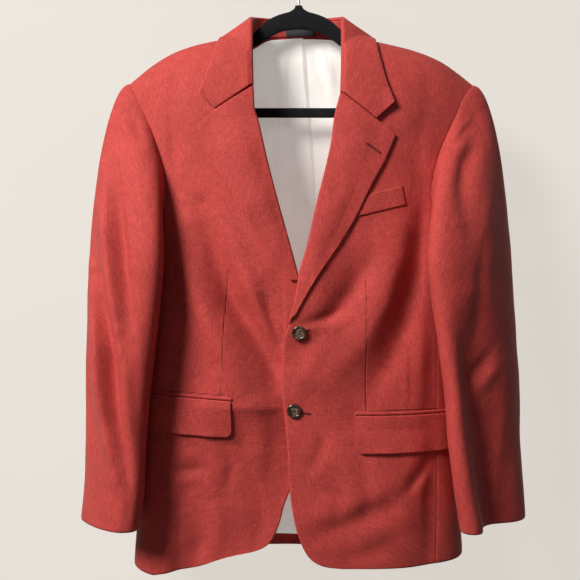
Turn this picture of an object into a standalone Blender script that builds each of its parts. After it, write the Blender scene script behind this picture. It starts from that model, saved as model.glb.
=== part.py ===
"""Two-button sport coat, buttoned, hanging on a slim flocked hanger.

Lengths in the tables are millimetres and become metres where a mesh is made. The origin is the inner
top of the hook. +Z is up, the coat faces -Y, and the wearer's left side is at +X.
"""

import math

import bmesh
import bpy
from mathutils import Vector

MM = 0.001
LEFT = 1
RIGHT = -1
SIDES = {LEFT: "left", RIGHT: "right"}

# Driving dimensions
CLOTH = 2.0                 # wall of the coat's cloth with its interlining
LINING = 1.0
SEAM = 0.25                 # half the gap between two pieces at a seam
ARMHOLE_GAP = 1.2           # the sleeve's and the body's edges are sampled apart, so this is wider
REST_GAP = 0.4              # gap between a piece and the one it lies on
ROLL_RADIUS = 4.0           # outer radius of the rolled lapel and collar
LAPEL_LIFT = 4.2            # lapel's outer face above the front, at its free edge
LAPEL_BELLY = 2.5
COLLAR_LIFT = 4.4

SHOULDER_FRONT = 28.0       # how far the shoulder rounds forward
SHOULDER_BACK = 24.0
SHOULDER_DROP = 45.0        # height over which it does
FRONT_FALL = 90.0           # height over which the chest comes forward
BACK_FALL = 110.0
FLAT_HALF_WIDTH = 40.0      # the front and the back are flat this far from the middle
FRONT_SEAM_X = 190.0
BACK_SEAM_X = 205.0
FRONT_SIDE_DEPTH = 50.0     # depth of the front at the side seam
BACK_SIDE_DEPTH = 22.0
NECK_X = 76.0               # where the shoulder seam meets the neck
NECK_Z = -121.0
NECK_BACK_Z = -113.0
NECK_BACK_Y = 31.0
UNDERARM_Z = -395.0
UNDERARM_DIP = 23.0
UNDERARM_CREST_Z = -465.0   # the sleeve is a plain tube below this

BUTTON_RADIUS = 9.8
BUTTON_THICK = 3.4
CUFF_BUTTON_RADIUS = 6.9
CUFF_BUTTON_THICK = 3.0

HANGER_HALF_THICK = 3.0
WIRE_RADIUS = 1.75
HOOK_INNER_RADIUS = 20.0


# ---------------------------------------------------------------- tables and smooth lines

class Curve:
    """Smooth values between a table's rows, whose keys rise."""

    def __init__(self, keys, rows):
        self.keys = keys
        self.rows = [tuple(float(value) for value in row) for row in rows]
        self.slopes = [self.slope(index) for index in range(len(rows))]

    def slope(self, index):
        """The mean of the slopes to both neighbours, held back so that the line never overshoots."""
        before = self.secant(max(index - 1, 0))
        after = self.secant(min(index, len(self.rows) - 2))
        return tuple(gentle_mean(a, b) for a, b in zip(before, after))

    def secant(self, index):
        run = self.keys[index + 1] - self.keys[index]
        return tuple((b - a) / run for a, b in zip(self.rows[index], self.rows[index + 1]))

    def at(self, key):
        key = min(max(key, self.keys[0]), self.keys[-1])
        index = 0
        while index < len(self.keys) - 2 and key > self.keys[index + 1]:
            index += 1
        run = self.keys[index + 1] - self.keys[index]
        u = (key - self.keys[index]) / run
        start = 2 * u ** 3 - 3 * u ** 2 + 1
        leave = (u ** 3 - 2 * u ** 2 + u) * run
        arrive = (u ** 3 - u ** 2) * run
        ends = zip(self.rows[index], self.slopes[index], self.rows[index + 1], self.slopes[index + 1])
        return tuple(a * start + m * leave + b * (1 - start) + n * arrive for a, m, b, n in ends)


def gentle_mean(a, b):
    if a * b <= 0:
        return 0.0
    return math.copysign(min(abs(a + b) / 2, 2 * abs(a), 2 * abs(b)), a)


def path(points, bent=False):
    """A line through points, keyed by the fraction of its length; bent keeps its corners."""
    keys = [0.0]
    for a, b in zip(points, points[1:]):
        keys.append(keys[-1] + math.dist(a, b))
    keys = [key / keys[-1] for key in keys]
    curve = Curve(keys, points)
    if bent:
        curve.at = lambda key: broken_line(keys, points, key)
    return curve


def broken_line(keys, points, key):
    key = min(max(key, 0.0), 1.0)
    index = 0
    while index < len(keys) - 2 and key > keys[index + 1]:
        index += 1
    u = (key - keys[index]) / (keys[index + 1] - keys[index])
    return tuple(a + (b - a) * u for a, b in zip(points[index], points[index + 1]))


def down_table(rows):
    """A table whose first column is z, from the top down."""
    rows = sorted(rows)
    return Curve([row[0] for row in rows], [row[1:] for row in rows])


def mix(a, b, t):
    return a + (b - a) * t


def smooth_step(value, low, high):
    t = min(max((value - low) / (high - low), 0.0), 1.0)
    return t * t * (3 - 2 * t)


def spaced(count, low=0.0, high=1.0):
    return [mix(low, high, index / (count - 1)) for index in range(count)]


def patch(inner, outer, top, bottom):
    """A four-sided patch between boundary lines: s runs inner to outer, t top to bottom."""
    corners = (inner.at(0), outer.at(0), inner.at(1), outer.at(1))

    def at(s, t):
        sides = zip(inner.at(t), outer.at(t), top.at(s), bottom.at(s), *corners)
        return tuple(
            mix(a, b, s) + mix(c, d, t) - mix(mix(p, q, s), mix(r, w, s), t)
            for a, b, c, d, p, q, r, w in sides
        )

    return at


# ---------------------------------------------------------------- outline of the coat, as (x, z)

# Top of the shoulders: distance out from the middle, height.
RIDGE = {
    RIGHT: Curve([76, 112, 156, 184, 212, 243], [[-121], [-126], [-136], [-147], [-164], [-189]]),
    LEFT: Curve([76, 109, 140, 167, 209, 251], [[-121], [-128], [-135], [-142], [-160], [-191]]),
}
TIP = {RIGHT: (-243, -189), LEFT: (251, -191)}

# Roll lines of the lapels, from the gorge down.
ROLL = {
    RIGHT: [(-62.7, -206), (-61, -237), (-56, -253), (-45, -301), (-32, -353), (-19, -400),
            (-9, -436), (1, -474)],
    LEFT: [(56, -216), (48, -247.5), (43, -285), (36, -317), (27, -353), (20, -382), (10, -426),
           (-0.5, -462), (-7, -500), (-16.5, -531)],
}
# Free edges of the lapels, from the tip down.
LAPEL_EDGE = {
    RIGHT: [(-140, -261), (-132, -287), (-118, -313), (-102, -342), (-84, -371), (-61, -405),
            (-42.5, -434), (-24.5, -457), (-12, -474)],
    LEFT: [(133, -275), (117, -310.5), (98, -345), (77, -387), (59, -418), (43, -441.5),
           (25, -467), (5, -500), (-6, -520)],
}
NOTCH = {RIGHT: (-114, -239), LEFT: (105, -253.5)}

# Front edges below the roll, down to the hem.
FRONT_EDGE = {
    RIGHT: [(8, -505), (13, -545), (15, -600), (13, -660), (7, -710), (-4, -745), (-20, -783),
            (-27, -809), (-35.5, -829), (-46, -841), (-63, -848.5), (-81, -851)],
    LEFT: [(-20, -548), (-22, -567), (-23.4, -599), (-22.7, -632.5), (-20, -658), (-16.5, -693),
           (-14.7, -727.5), (-13, -759), (-9, -788.5), (-3, -815), (6, -838), (16, -852),
           (32, -861), (58, -865.5)],
}
FRONT_HEM = {
    RIGHT: [(-81, -851), (-115, -861), (-140, -870), (-174, -877), (-202, -883)],
    LEFT: [(58, -865.5), (100, -866.5), (137.5, -867), (188, -865)],
}
# Armholes down to the side seam, then the side seam itself.
ARMHOLE_FRONT = {
    RIGHT: [(-243, -189), (-223, -228), (-207, -260), (-195, -293.5), (-186.5, -324),
            (-183, -358), (-190, UNDERARM_Z)],
    LEFT: [(251, -191), (236, -208.5), (222, -237), (209, -263), (197, -288), (187, -318),
           (182, -350), (190, UNDERARM_Z)],
}
SIDE_SEAM_FRONT = {
    RIGHT: [(-190, UNDERARM_Z), (-194, -520), (-200, -640), (-209, -760), (-202, -883)],
    LEFT: [(190, UNDERARM_Z), (190, -520), (190, -640), (190, -760), (188, -865)],
}
ARMHOLE_BACK = {
    RIGHT: [(-243, -189), (-232, -215), (-215, -250), (-203, -290), (-197, -340), (-205, UNDERARM_Z)],
    LEFT: [(251, -191), (238, -215), (220, -250), (206, -290), (199, -340), (205, UNDERARM_Z)],
}
SIDE_SEAM_BACK = {
    RIGHT: [(-205, UNDERARM_Z), (-203, -520), (-206, -640), (-212, -760), (-218, -868)],
    LEFT: [(205, UNDERARM_Z), (203, -520), (206, -640), (210, -760), (216, -860)],
}
BACK_HEM_Z = -865
# Furthest out that the side panel reaches: height, x.
SIDE_REACH = down_table([(-395, 213), (-500, 216), (-600, 219), (-700, 225), (-800, 231), (-887, 235)])
SIDE_HEM_Z = {RIGHT: (-883, -868), LEFT: (-865, -860)}

# Depth of the chest and of the back at the middle: height, depth.
CHEST = down_table([(-120, 74), (-207, 76), (-300, 78), (-465, 80), (-560, 81), (-650, 80),
                    (-760, 76), (-890, 70)])
BLADES = down_table([(-120, 38), (-250, 41), (-400, 40), (-600, 36), (-890, 35)])
# How far the buttoned left front stands in front of the right one: height, distance.
OVERLAP = down_table([(-300, 0), (-380, 5), (-440, 11), (-500, 11.5), (-535, 9), (-580, 3.4), (-750, 3.4),
                      (-800, 4.5), (-890, 4.5)])

# Largest folds: width, height towards the viewer (a trough is negative), line as (x, z).
FRONT_FOLDS = {
    LEFT: [
        (24, 6, [(122, -395), (106, -455), (86, -500), (48, -550), (8, -588)]),
        (20, -5, [(157, -360), (152, -420), (128, -470), (113, -520), (95, -565), (58, -618)]),
        (18, 4, [(150, -800), (176, -760), (190, -725)]),
    ],
    RIGHT: [
        (20, -5, [(-147, -391), (-121, -457), (-104, -501), (-72, -538), (-42, -590), (-34, -620)]),
        (24, 4, [(-168, -470), (-140, -520), (-112, -566)]),
    ],
}
SLEEVE_FOLDS = {
    LEFT: [
        (14, -9, [(249, -240), (242, -292), (230, -315), (222, -345), (219, -372), (222, -402)]),
        (16, 5, [(262, -330), (254, -400), (246, -450), (240, -500)]),
    ],
    RIGHT: [
        (14, -8, [(-254, -318), (-242, -391), (-235, -434), (-225, -501), (-218, -560)]),
        (13, -8, [(-267, -465), (-259, -515), (-251, -563), (-246, -612), (-240, -666), (-226, -730)]),
    ],
}

# Sleeve below the crest: height, outermost x, innermost x, y of the middle, turn of the flat section
# from the x axis in degrees, half thickness.
SLEEVE = {
    RIGHT: down_table([
        (-440, -297, -178.5, -60, 45, 33.5),
        (-512, -299, -185, -60, 46, 33),
        (-575, -300, -193, -60, 47, 33),
        (-632, -300, -199.5, -59, 48, 32),
        (-694, -300, -205, -58, 49, 31),
        (-750, -303, -207, -57, 50, 30),
        (-806, -308, -215, -56, 50, 29),
    ]),
    LEFT: down_table([
        (-440, 303, 166, -61, 43, 33.5),
        (-512, 307, 174.5, -61, 44, 33),
        (-563, 310.5, 183, -60, 45, 33),
        (-632, 315, 191, -59, 47, 32),
        (-694, 316, 196, -58, 48, 31.5),
        (-750, 319, 203.5, -58, 49, 31),
        (-806, 322, 213, -58, 49, 31),
    ]),
}
CUFF_Z = -806
# Deep fold down the left forearm: height, place round the sleeve, half width, depth.
FOREARM_FOLD = down_table([(-490, 62, 26, 0), (-560, 56, 26, 12), (-620, 60, 27, 20), (-700, 68, 28, 25),
                           (-806, 74, 28, 30)])
# Place round the sleeve against place round the armhole, where 0 is the shoulder tip, 1 the front side
# seam, 2 the back side seam and 3 the tip again.
ROUND_THE_ARMHOLE = Curve([-205, -180, -150, -132, -115, -98, -80, -63, -45, -28, 0, 30, 90, 155],
                          [[3.0], [2.66], [2.26], [2.0], [1.76], [1.45], [1.17], [0.98], [0.91], [0.84], [0.74],
                           [0.62], [0.36], [0.0]])
SLEEVE_TIP = 155.0
SLEEVE_FRONT_SEAM = -28.0
SLEEVE_BACK_SEAM = 192.0
SLEEVE_SEAM_TURN = 0.45     # half the gap at the sleeve's seams, in degrees

# Collar, section by section: roll x, y, z; free edge x, y, z; neck seam x, z.
COLLAR = [
    (-62.7, -59, -204.8, -139, -62, -214, -67.5, -204),
    (-63.5, -51, -178, -132, -54, -196, -68.5, -182),
    (-64.5, -41, -150, -124, -42, -171, -70.5, -158),
    (-65, -28, -120, -117, -24, -143, -75, -127),
    (-66, -12, -99, -111, 2, -120.5, -74.6, -115.5),
    (-61, 7, -91, -104, 22, -128, -61.5, -119),
    (-45, 22, -86.5, -80, 36, -132, -42.3, -116),
    (-24, 30, -84.8, -42, 43, -133, -22.5, -113.6),
    (-2, 32.5, -84.5, -2, 46, -133, -1, -113),
    (20, 30, -84.8, 38, 43, -133, 20, -113.6),
    (40, 22, -86.5, 76, 36, -132, 39, -116),
    (55, 7, -91, 101, 22, -129, 57.5, -119),
    (60, -12, -99, 108, 2, -121.5, 74.6, -115.5),
    (59.5, -28, -122, 111, -24, -152, 75, -129),
    (58.5, -41, -154, 118, -44, -185, 69.5, -162),
    (57.5, -51, -185, 125, -57, -208, 64.5, -190),
    (56, -59, -215, 131, -63, -228, 61, -214),
]
COLLAR_END = len(COLLAR) - 1
BACK_NECK = (3.5, 12.5)     # sections between which the collar is sewn to the back
NECK_EASE = 3.0             # how far inside the body's neck edge the stand's outer face is
STAND_ENDS = (4.0, COLLAR_END - 4.0)
ROLLED_SHARE = 0.3          # part of the lapel's and the collar's s that goes round the roll
ROLL_RETURN = 5.0

# Pockets. Flaps: inner end, heights of the top's inner and outer end, depth, width along the cloth.
FLAP = {
    LEFT: dict(inner=77, top_in=-656.5, top_out=-657.5, deep=51, wide=146),
    RIGHT: dict(inner=93, top_in=-637.5, top_out=-629, deep=51, wide=146),
}
FLAP_CORNER = 9.0
FLAP_THICK = 1.6
FLAP_LIFT = 2.7
FLAP_FLARE = 2.0            # how much further its lower edge stands off
JET_HIGH = 5.0
JET_LIFT = 2.3
JET_THICK = 1.4
WELT = dict(inner_top=(66, -364.5), outer_top=(140.7, -344), outer_low=(145.7, -370.5), inner_low=(64, -391))
WELT_LIFT = 1.8
WELT_THICK = 1.3

FRONT_BUTTONS = {"upper": (-0.3, -544), "lower": (-7, -649)}
CUFF_BUTTONS = ("first", "second", "third", "fourth")
CUFF_BUTTON_LOW_T = 0.955   # place of the lowest one down the sleeve
CUFF_BUTTON_STEP_T = 0.0245
CUFF_BUTTON_PLACE = 178.0   # degrees round the sleeve, beside the hind seam

# Lining: lean of the centre pleat with height.
PLEAT_X = down_table([(-113, 4.7), (-184, 10), (-237, 15), (-340, 22), (-465, 26), (-650, 12), (-870, 2)])
PLEAT_HIGH = 5.0
LINING_GAP = 2.2
PLEAT_WIDE = 45.0
LABEL_ENDS = (-21.6, 29.6)

# Hanger: outline of the neck arch, as distance from the middle and height.
NUB_TOP_Z = -75.0
ARCH_TOP = [(0, NUB_TOP_Z), (4.5, NUB_TOP_Z), (6, -79), (13, -84), (27, -88), (45, -96.5), (60, -110),
            (68, -118.5), (79, -127)]
ARCH_UNDER = [(0, -110), (12, -110.8), (25, -113), (39, -119.5), (52, -128), (60, -134), (72, -139.5),
              (90, -143.5)]
ARM_DROP = CLOTH + 2.3      # arm's top below the shoulder's outer face
ARM_HIGH = 15.0
ARM_END_X = 216.0
BAR_TOP_Z = -223.6
BAR_HIGH = 14.0


# ---------------------------------------------------------------- shape of the hanging coat

def side_of(x):
    return LEFT if x > 0 else RIGHT


def ridge_z(x, side):
    """Height of the shoulder line; inside the neck it runs level to the middle."""
    return RIDGE[side].at(abs(x))[0]


def neck_back_z(x):
    return mix(NECK_BACK_Z, NECK_Z, min(abs(x) / NECK_X, 1.0) ** 2)


def top_back_z(x, side):
    return neck_back_z(x) if abs(x) < NECK_X else ridge_z(x, side)


def rounding(drop):
    """Quarter-round profile of the shoulder, 0 at the ridge and 1 below it."""
    u = min(max(drop / SHOULDER_DROP, 0.0), 1.0)
    return math.sqrt(1 - (1 - u) ** 2)


def relief(folds, x, z):
    """Height of the folds at a place, from its distance to each fold's line."""
    return sum(height * nearness(line, x, z, width) for width, height, line in folds)


def nearness(line, x, z, width):
    """1 on a fold's line, fading to 0 at its sides and ends."""
    best = 0.0
    spans = len(line) - 1
    for index, ((ax, az), (bx, bz)) in enumerate(zip(line, line[1:])):
        run = (bx - ax) ** 2 + (bz - az) ** 2
        t = min(max(((x - ax) * (bx - ax) + (z - az) * (bz - az)) / run, 0.0), 1.0)
        gap = math.hypot(x - mix(ax, bx, t), z - mix(az, bz, t))
        along = min(max((index + t) / spans, 0.03), 0.97)
        fade = math.sin(math.pi * along) ** 0.6
        best = max(best, fade * math.exp(-(gap / width) ** 2))
    return best


def across(x, seam_x):
    """0 in the flat middle, growing to 1 at the side seam."""
    return (max(abs(x) - FLAT_HALF_WIDTH, 0.0) / (seam_x - FLAT_HALF_WIDTH)) ** 2


def overlap(x, z):
    return OVERLAP.at(z)[0] * (1 - smooth_step(x, 18, 80))


def front_y(x, z, side):
    drop = ridge_z(x, side) - z
    deep = mix(CHEST.at(z)[0], FRONT_SIDE_DEPTH, across(x, FRONT_SEAM_X))
    shoulder = SHOULDER_FRONT - 9.0 * smooth_step(abs(x), 180, 250)
    y = shoulder * rounding(drop) + (deep - shoulder) * (1 - math.exp(-max(drop, 0.0) / FRONT_FALL))
    if side == LEFT:
        y += overlap(x, z)
    y += relief(FRONT_FOLDS[side], x, z) * (1 - smooth_step(abs(x), 160, 186))
    return -y


def back_y(x, z, side):
    drop = max(top_back_z(x, side) - z, 0.0)
    deep = mix(BLADES.at(z)[0], BACK_SIDE_DEPTH, across(x, BACK_SEAM_X))
    edge = 0.0
    if abs(x) < NECK_X:
        edge = NECK_BACK_Y * math.sqrt(1 - (x / NECK_X) ** 2)
    shoulder = max(SHOULDER_BACK, edge)
    rise = (shoulder - edge) * rounding(drop)
    return edge + rise + (deep - shoulder) * (1 - math.exp(-drop / BACK_FALL))


def height_normal(height, x, z, side, facing):
    """Outward normal of a height function; facing is -1 for the front and 1 for the back."""
    step = 0.05
    along = (height(x + step, z, side) - height(x - step, z, side)) / (2 * step)
    up = (height(x, z, side) - height(x, z - step, side)) / step
    return Vector((-along, 1, -up)).normalized() * facing


def front_normal(x, z, side):
    return height_normal(front_y, x, min(z, ridge_z(x, side)), side, -1)


def back_normal(x, z, side):
    return height_normal(back_y, x, min(z, top_back_z(x, side)), side, 1)


class Sheet:
    """A cloth surface: its outer face and outward normal over s and t."""

    def __init__(self, point, normal=None):
        self.point = point
        self.normal = normal or self.stepped_normal
        self.limits = ((0.0, 1.0), (0.0, 1.0))

    def stepped_normal(self, s, t):
        (s_low, s_high), (t_low, t_high) = self.limits
        s_step, t_step = (s_high - s_low) * 0.003, (t_high - t_low) * 0.003
        along = self.point(min(s + s_step, s_high), t) - self.point(max(s - s_step, s_low), t)
        down = self.point(s, min(t + t_step, t_high)) - self.point(s, max(t - t_step, t_low))
        return along.cross(down).normalized() * self.turn

    turn = 1


def front_place(side):
    """The front in (x, z): s from the front edge to the side, t from the shoulder to the hem."""
    neckline = [(side * NECK_X, NECK_Z), (side * (NECK_X - 2), -137), (side * (NECK_X - 5.5), -160)]
    outward = side * ROLL_RADIUS
    roll = [(x + outward, z) for x, z in ROLL[side]]
    inner = path(neckline + roll + FRONT_EDGE[side])
    outer = path([(x - side * SEAM, z) for x, z in ARMHOLE_FRONT[side] + SIDE_SEAM_FRONT[side][1:]])
    reach = abs(TIP[side][0])
    top = path([(side * x, ridge_z(x, side)) for x in spaced(9, NECK_X, reach)])
    return patch(inner, outer, top, path(FRONT_HEM[side]))


def front_sheet(side):
    place = front_place(side)

    def point(s, t):
        x, z = place(s, t)
        return Vector((x, front_y(x, z, side) - SEAM, z))

    return Sheet(point, lambda s, t: front_normal(*place(s, t), side))


def back_place(side):
    inner = path([(side * SEAM, NECK_BACK_Z), (side * SEAM, -500), (side * SEAM, BACK_HEM_Z)])
    outer = path([(x - side * SEAM, z) for x, z in ARMHOLE_BACK[side] + SIDE_SEAM_BACK[side][1:]])
    reach = abs(TIP[side][0])
    top_x = [SEAM, 12, 24, 36, 48, 58, 66, 72, 76, 100, 130, 160, 190, 220, reach]
    top = path([(side * x, top_back_z(x, side)) for x in top_x])
    side_x, side_z = SIDE_SEAM_BACK[side][-1]
    hem = path([(side * SEAM, BACK_HEM_Z), (side_x / 2, BACK_HEM_Z), (side_x, side_z)])
    return patch(inner, outer, top, hem)


def back_sheet(side):
    place = back_place(side)

    def point(s, t):
        x, z = place(s, t)
        return Vector((x, back_y(x, z, side) + SEAM, z))

    return Sheet(point, lambda s, t: back_normal(*place(s, t), side))


def line_x(line, z):
    return line.at(z)[0]


FRONT_SEAM = {side: down_table([(z, x) for x, z in SIDE_SEAM_FRONT[side]]) for side in SIDES}
BACK_SEAM = {side: down_table([(z, x) for x, z in SIDE_SEAM_BACK[side]]) for side in SIDES}


def side_section(side, z):
    """Cross-section of the side panel at a height: its four Bezier points, front to back."""
    front_x = line_x(FRONT_SEAM[side], z)
    back_x = line_x(BACK_SEAM[side], z)
    front = Vector((front_x, front_y(front_x, z, side) - SEAM))
    back = Vector((back_x, back_y(back_x, z, side) + SEAM))
    mid_x = (8 * side * SIDE_REACH.at(z)[0] - front_x - back_x) / 6
    front_slope = (front_y(front_x + side, z, side) + SEAM - front_y(front_x, z, side) - SEAM) * side
    back_slope = (back_y(back_x + side, z, side) - back_y(back_x, z, side)) * side
    front_arm = Vector((mid_x, front.y + front_slope * (mid_x - front_x)))
    back_arm = Vector((mid_x, back.y + back_slope * (mid_x - back_x)))
    return front, front_arm, back_arm, back


def bezier(points, t):
    a, b, c, d = points
    return a * (1 - t) ** 3 + b * 3 * t * (1 - t) ** 2 + c * 3 * t ** 2 * (1 - t) + d * t ** 3


def side_sheet(side):
    """The side panel: s from the front seam to the back seam, t from the armhole to the hem."""
    ease = 5 * SEAM / 85

    def point(s, t):
        hem = mix(SIDE_HEM_Z[side][0], SIDE_HEM_Z[side][1], s)
        z = mix(UNDERARM_Z - UNDERARM_DIP * math.sin(math.pi * s), hem, t)
        place = bezier(side_section(side, z), mix(ease, 1 - ease, s))
        return Vector((place.x, place.y, z))

    return Sheet(point)


def skin_point(side, reach, z):
    """A point of the body's outer face, by its distance out from the middle along the cloth."""
    seam_x = abs(line_x(FRONT_SEAM[side], z))
    if reach <= seam_x:
        return Vector((side * reach, front_y(side * reach, z, side) - SEAM, z))
    section = side_section(side, z)
    spots = [bezier(section, t) for t in spaced(9)]
    girth = sum((b - a).length for a, b in zip(spots, spots[1:]))
    place = bezier(section, min((reach - seam_x) / girth, 1.0))
    return Vector((place.x, place.y, z))


def skin_normal(side, reach, z):
    step = 1.5
    along = skin_point(side, reach + step, z) - skin_point(side, reach - step, z)
    down = skin_point(side, reach, z - step) - skin_point(side, reach, z + step)
    return along.cross(down).normalized() * -side


# ---------------------------------------------------------------- lapels and collar

def rolled(roll, leave, facing, turn):
    """A point on the rolled edge: turn 0 is its outer face, 90 the roll line, 180 its inner face."""
    middle = roll + leave * ROLL_RADIUS
    angle = math.radians(turn)
    return middle + facing * (ROLL_RADIUS * math.cos(angle)) - leave * (ROLL_RADIUS * math.sin(angle))


def lapel_sheet(side):
    """The lapel: s from its inner return round the roll to the free edge, t from the gorge down."""
    roll = path(ROLL[side])
    edge = path(LAPEL_EDGE[side])
    gorge = path([ROLL[side][0], NOTCH[side], LAPEL_EDGE[side][0]], bent=True)

    def flat(share, t):
        """Place on the front, (x, z); the top row follows the gorge and passes the notch."""
        low = Vector(roll.at(t)).lerp(Vector(edge.at(t)), share)
        straight = Vector(roll.at(0)).lerp(Vector(edge.at(0)), share)
        return low + (Vector(gorge.at(share)) - straight) * max(1 - t * 9, 0.0)

    def point(s, t):
        roll_at, edge_at = flat(0.0, t), flat(1.0, t)
        width = (edge_at - roll_at).length
        across_it = (edge_at - roll_at) / width
        leave = Vector((across_it.x, 0, across_it.y))
        panel = roll_at + across_it * ROLL_RADIUS
        middle_y = front_y(panel.x, panel.y, side) - SEAM + CLOTH / 2
        start = Vector((roll_at.x, middle_y, roll_at.y))
        if s < ROLLED_SHARE:
            round_part = mix(-0.3, 1.0, s / ROLLED_SHARE)
            if round_part < 0:
                return rolled(start, leave, Vector((0, -1, 0)), 180) - leave * (round_part * 3.3 * ROLL_RETURN)
            return rolled(start, leave, Vector((0, -1, 0)), 180 * (1 - round_part))
        along = (s - ROLLED_SHARE) / (1 - ROLLED_SHARE)
        place = flat(mix(min(ROLL_RADIUS / width, 0.9), 1.0, along), t)
        rise = mix(ROLL_RADIUS - CLOTH / 2, LAPEL_LIFT, along)
        belly = LAPEL_BELLY * math.sin(math.pi * min(along * 1.4, 1.0)) * smooth_step(width, 15, 70)
        return Vector((place.x, front_y(place.x, place.y, side) - SEAM - rise - belly, place.y))

    return Sheet(point)


def collar_rows(first, last):
    return Curve([float(i) for i in range(len(COLLAR))], [row[first:last] for row in COLLAR])


COLLAR_ROLL = collar_rows(0, 3)
COLLAR_EDGE = collar_rows(3, 6)
NECK_SEAM = collar_rows(6, 8)


def clear_of_body(place, lift):
    """Move a point out of the body, so that a piece's outer face lies lift above the cloth."""
    side = side_of(place.x)
    if place.y < 0:
        drop = ridge_z(place.x, side) - place.z + lift
        if drop > 0:
            limit = front_y(place.x, place.z - lift, side) - lift * rounding(drop)
            place.y = min(place.y, limit)
    else:
        drop = top_back_z(place.x, side) - place.z + lift
        if drop > 0:
            limit = back_y(place.x, place.z - lift, side) + lift * rounding(drop)
            place.y = max(place.y, limit)
    return place


def collar_roll(u):
    """The roll line; at its two ends it goes round the front's edge as the lapel's does."""
    roll = Vector(COLLAR_ROLL.at(u))
    side = side_of(roll.x)
    nearest_end = max(min(u, COLLAR_END - u), 0.0)
    on_front = front_y(roll.x + side * ROLL_RADIUS, roll.z, side) - SEAM + CLOTH / 2
    roll.y = mix(on_front, roll.y, smooth_step(nearest_end, 0.3, 2.5))
    return roll


def collar_frame(u):
    """The roll's place there, the way the fall leaves it, and the way its outer face points."""
    roll = collar_roll(u)
    ahead = collar_roll(u + 0.1) - collar_roll(u - 0.1)
    leave = (Vector(COLLAR_EDGE.at(u)) - roll).normalized()
    facing = ahead.cross(leave).normalized()
    leave = facing.cross(ahead).normalized()
    return roll, leave, facing


def neck_seam(u):
    """Inner face of the body's neck edge."""
    x, z = NECK_SEAM.at(u)
    side = side_of(x)
    if BACK_NECK[0] < u < BACK_NECK[1]:
        z = neck_back_z(x)
        nearest_end = min(u - BACK_NECK[0], BACK_NECK[1] - u)
        depth = back_y(x, z, side) * min(nearest_end / 0.5, 1.0)
        return Vector((x * (1 - NECK_EASE / NECK_X), max(depth - CLOTH, 0.0), z))
    depth = front_y(x, z, side)
    return Vector((x - side * NECK_EASE, min(depth + CLOTH, 0.0), z))


def stand_fall(u):
    """The way the stand leaves the roll, and the turn at which the roll meets it."""
    roll, leave, facing = collar_frame(u)
    down = (neck_seam(u) - rolled(roll, leave, facing, 180)).normalized()
    bend = math.degrees(leave.angle(down))
    nearest_end = min(u, COLLAR_END - u)
    return 180 - min(bend, 75) * smooth_step(nearest_end, 2.4, STAND_ENDS[0])


def collar_fall_point(s, t):
    """The collar's fall: s round the roll to the free edge, t from end to end round the neck."""
    u = t * COLLAR_END
    roll, leave, facing = collar_frame(u)
    if s <= ROLLED_SHARE:
        return rolled(roll, leave, facing, stand_fall(u) * (1 - s / ROLLED_SHARE))
    along = (s - ROLLED_SHARE) / (1 - ROLLED_SHARE)
    start = rolled(roll, leave, facing, 0)
    place = start.lerp(Vector(COLLAR_EDGE.at(u)), along)
    nearest_end = min(u, COLLAR_END - u)
    if nearest_end < 1.0:
        place += end_shift(u, along) * (1 - nearest_end)
    place = clear_of_body(place, COLLAR_LIFT)
    place.y += math.copysign(1.0, place.y) * 1.2 * math.sin(math.pi * along)
    return place


def end_shift(u, along):
    """How far the collar's end bends from straight, so that it meets the gorge up to the notch."""
    side, last = (RIGHT, 0) if u < 1.0 else (LEFT, COLLAR_END)
    first, tip = COLLAR_ROLL.at(last), COLLAR_EDGE.at(last)
    gorge_z = NOTCH[side][1] + 1.0
    end = path([(first[0], first[2]), (NOTCH[side][0], gorge_z), (tip[0], tip[2])], bent=True)
    end_x, end_z = end.at(along)
    return Vector((end_x - mix(first[0], tip[0], along), 0, end_z - mix(first[2], tip[2], along)))


def collar_stand_point(s, t):
    """The collar's stand: s from the neck seam up to the roll, t round the neck."""
    u = mix(STAND_ENDS[0], STAND_ENDS[1], t)
    roll, leave, facing = collar_frame(u)
    top = rolled(roll, leave, facing, stand_fall(u))
    seam = neck_seam(u)
    rise = (top - seam).normalized()
    return (seam + rise * 2.5 * SEAM).lerp(top - rise * 2.5 * SEAM, s)


# ---------------------------------------------------------------- sleeves

def armhole_point(side, around):
    """A point on the armhole's edge: 0 at the tip, 1 and 2 at the side seams, 3 at the tip again."""
    if around <= 1.0:
        x, z = FRONT_ARMHOLE[side].at(around)
        return Vector((x, front_y(x, z, side) - SEAM, z))
    if around <= 2.0:
        return SIDE_SHEET[side].point(around - 1.0, 0.0)
    x, z = BACK_ARMHOLE[side].at(3.0 - around)
    return Vector((x, back_y(x, z, side) + SEAM, z))


FRONT_ARMHOLE = {side: path(ARMHOLE_FRONT[side]) for side in SIDES}
BACK_ARMHOLE = {side: path(ARMHOLE_BACK[side]) for side in SIDES}
SIDE_SHEET = {side: side_sheet(side) for side in SIDES}


def sleeve_ring(side, place, z):
    """A point of the sleeve's plain tube: place in degrees, 0 at the front fold, 90 on its face."""
    outer, inner, mid_y, turn, thick = SLEEVE[side].at(z)
    turn = math.radians(turn)
    half = abs(outer - inner) / 2
    long_way = Vector((-side * math.cos(turn), -math.sin(turn), 0))
    thick_way = Vector((side * math.sin(turn), -math.cos(turn), 0))
    length = math.sqrt(half ** 2 - (thick * thick_way.x) ** 2) / abs(long_way.x)
    angle = math.radians(place)
    across_fold = thick * math.sin(angle)
    if side == LEFT:
        at, spread, depth = FOREARM_FOLD.at(z)
        across_fold -= depth * math.exp(-((place - at) / spread) ** 2)
    middle = Vector(((outer + inner) / 2, mid_y, z))
    return middle + long_way * (length * math.cos(angle)) + thick_way * across_fold


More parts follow.
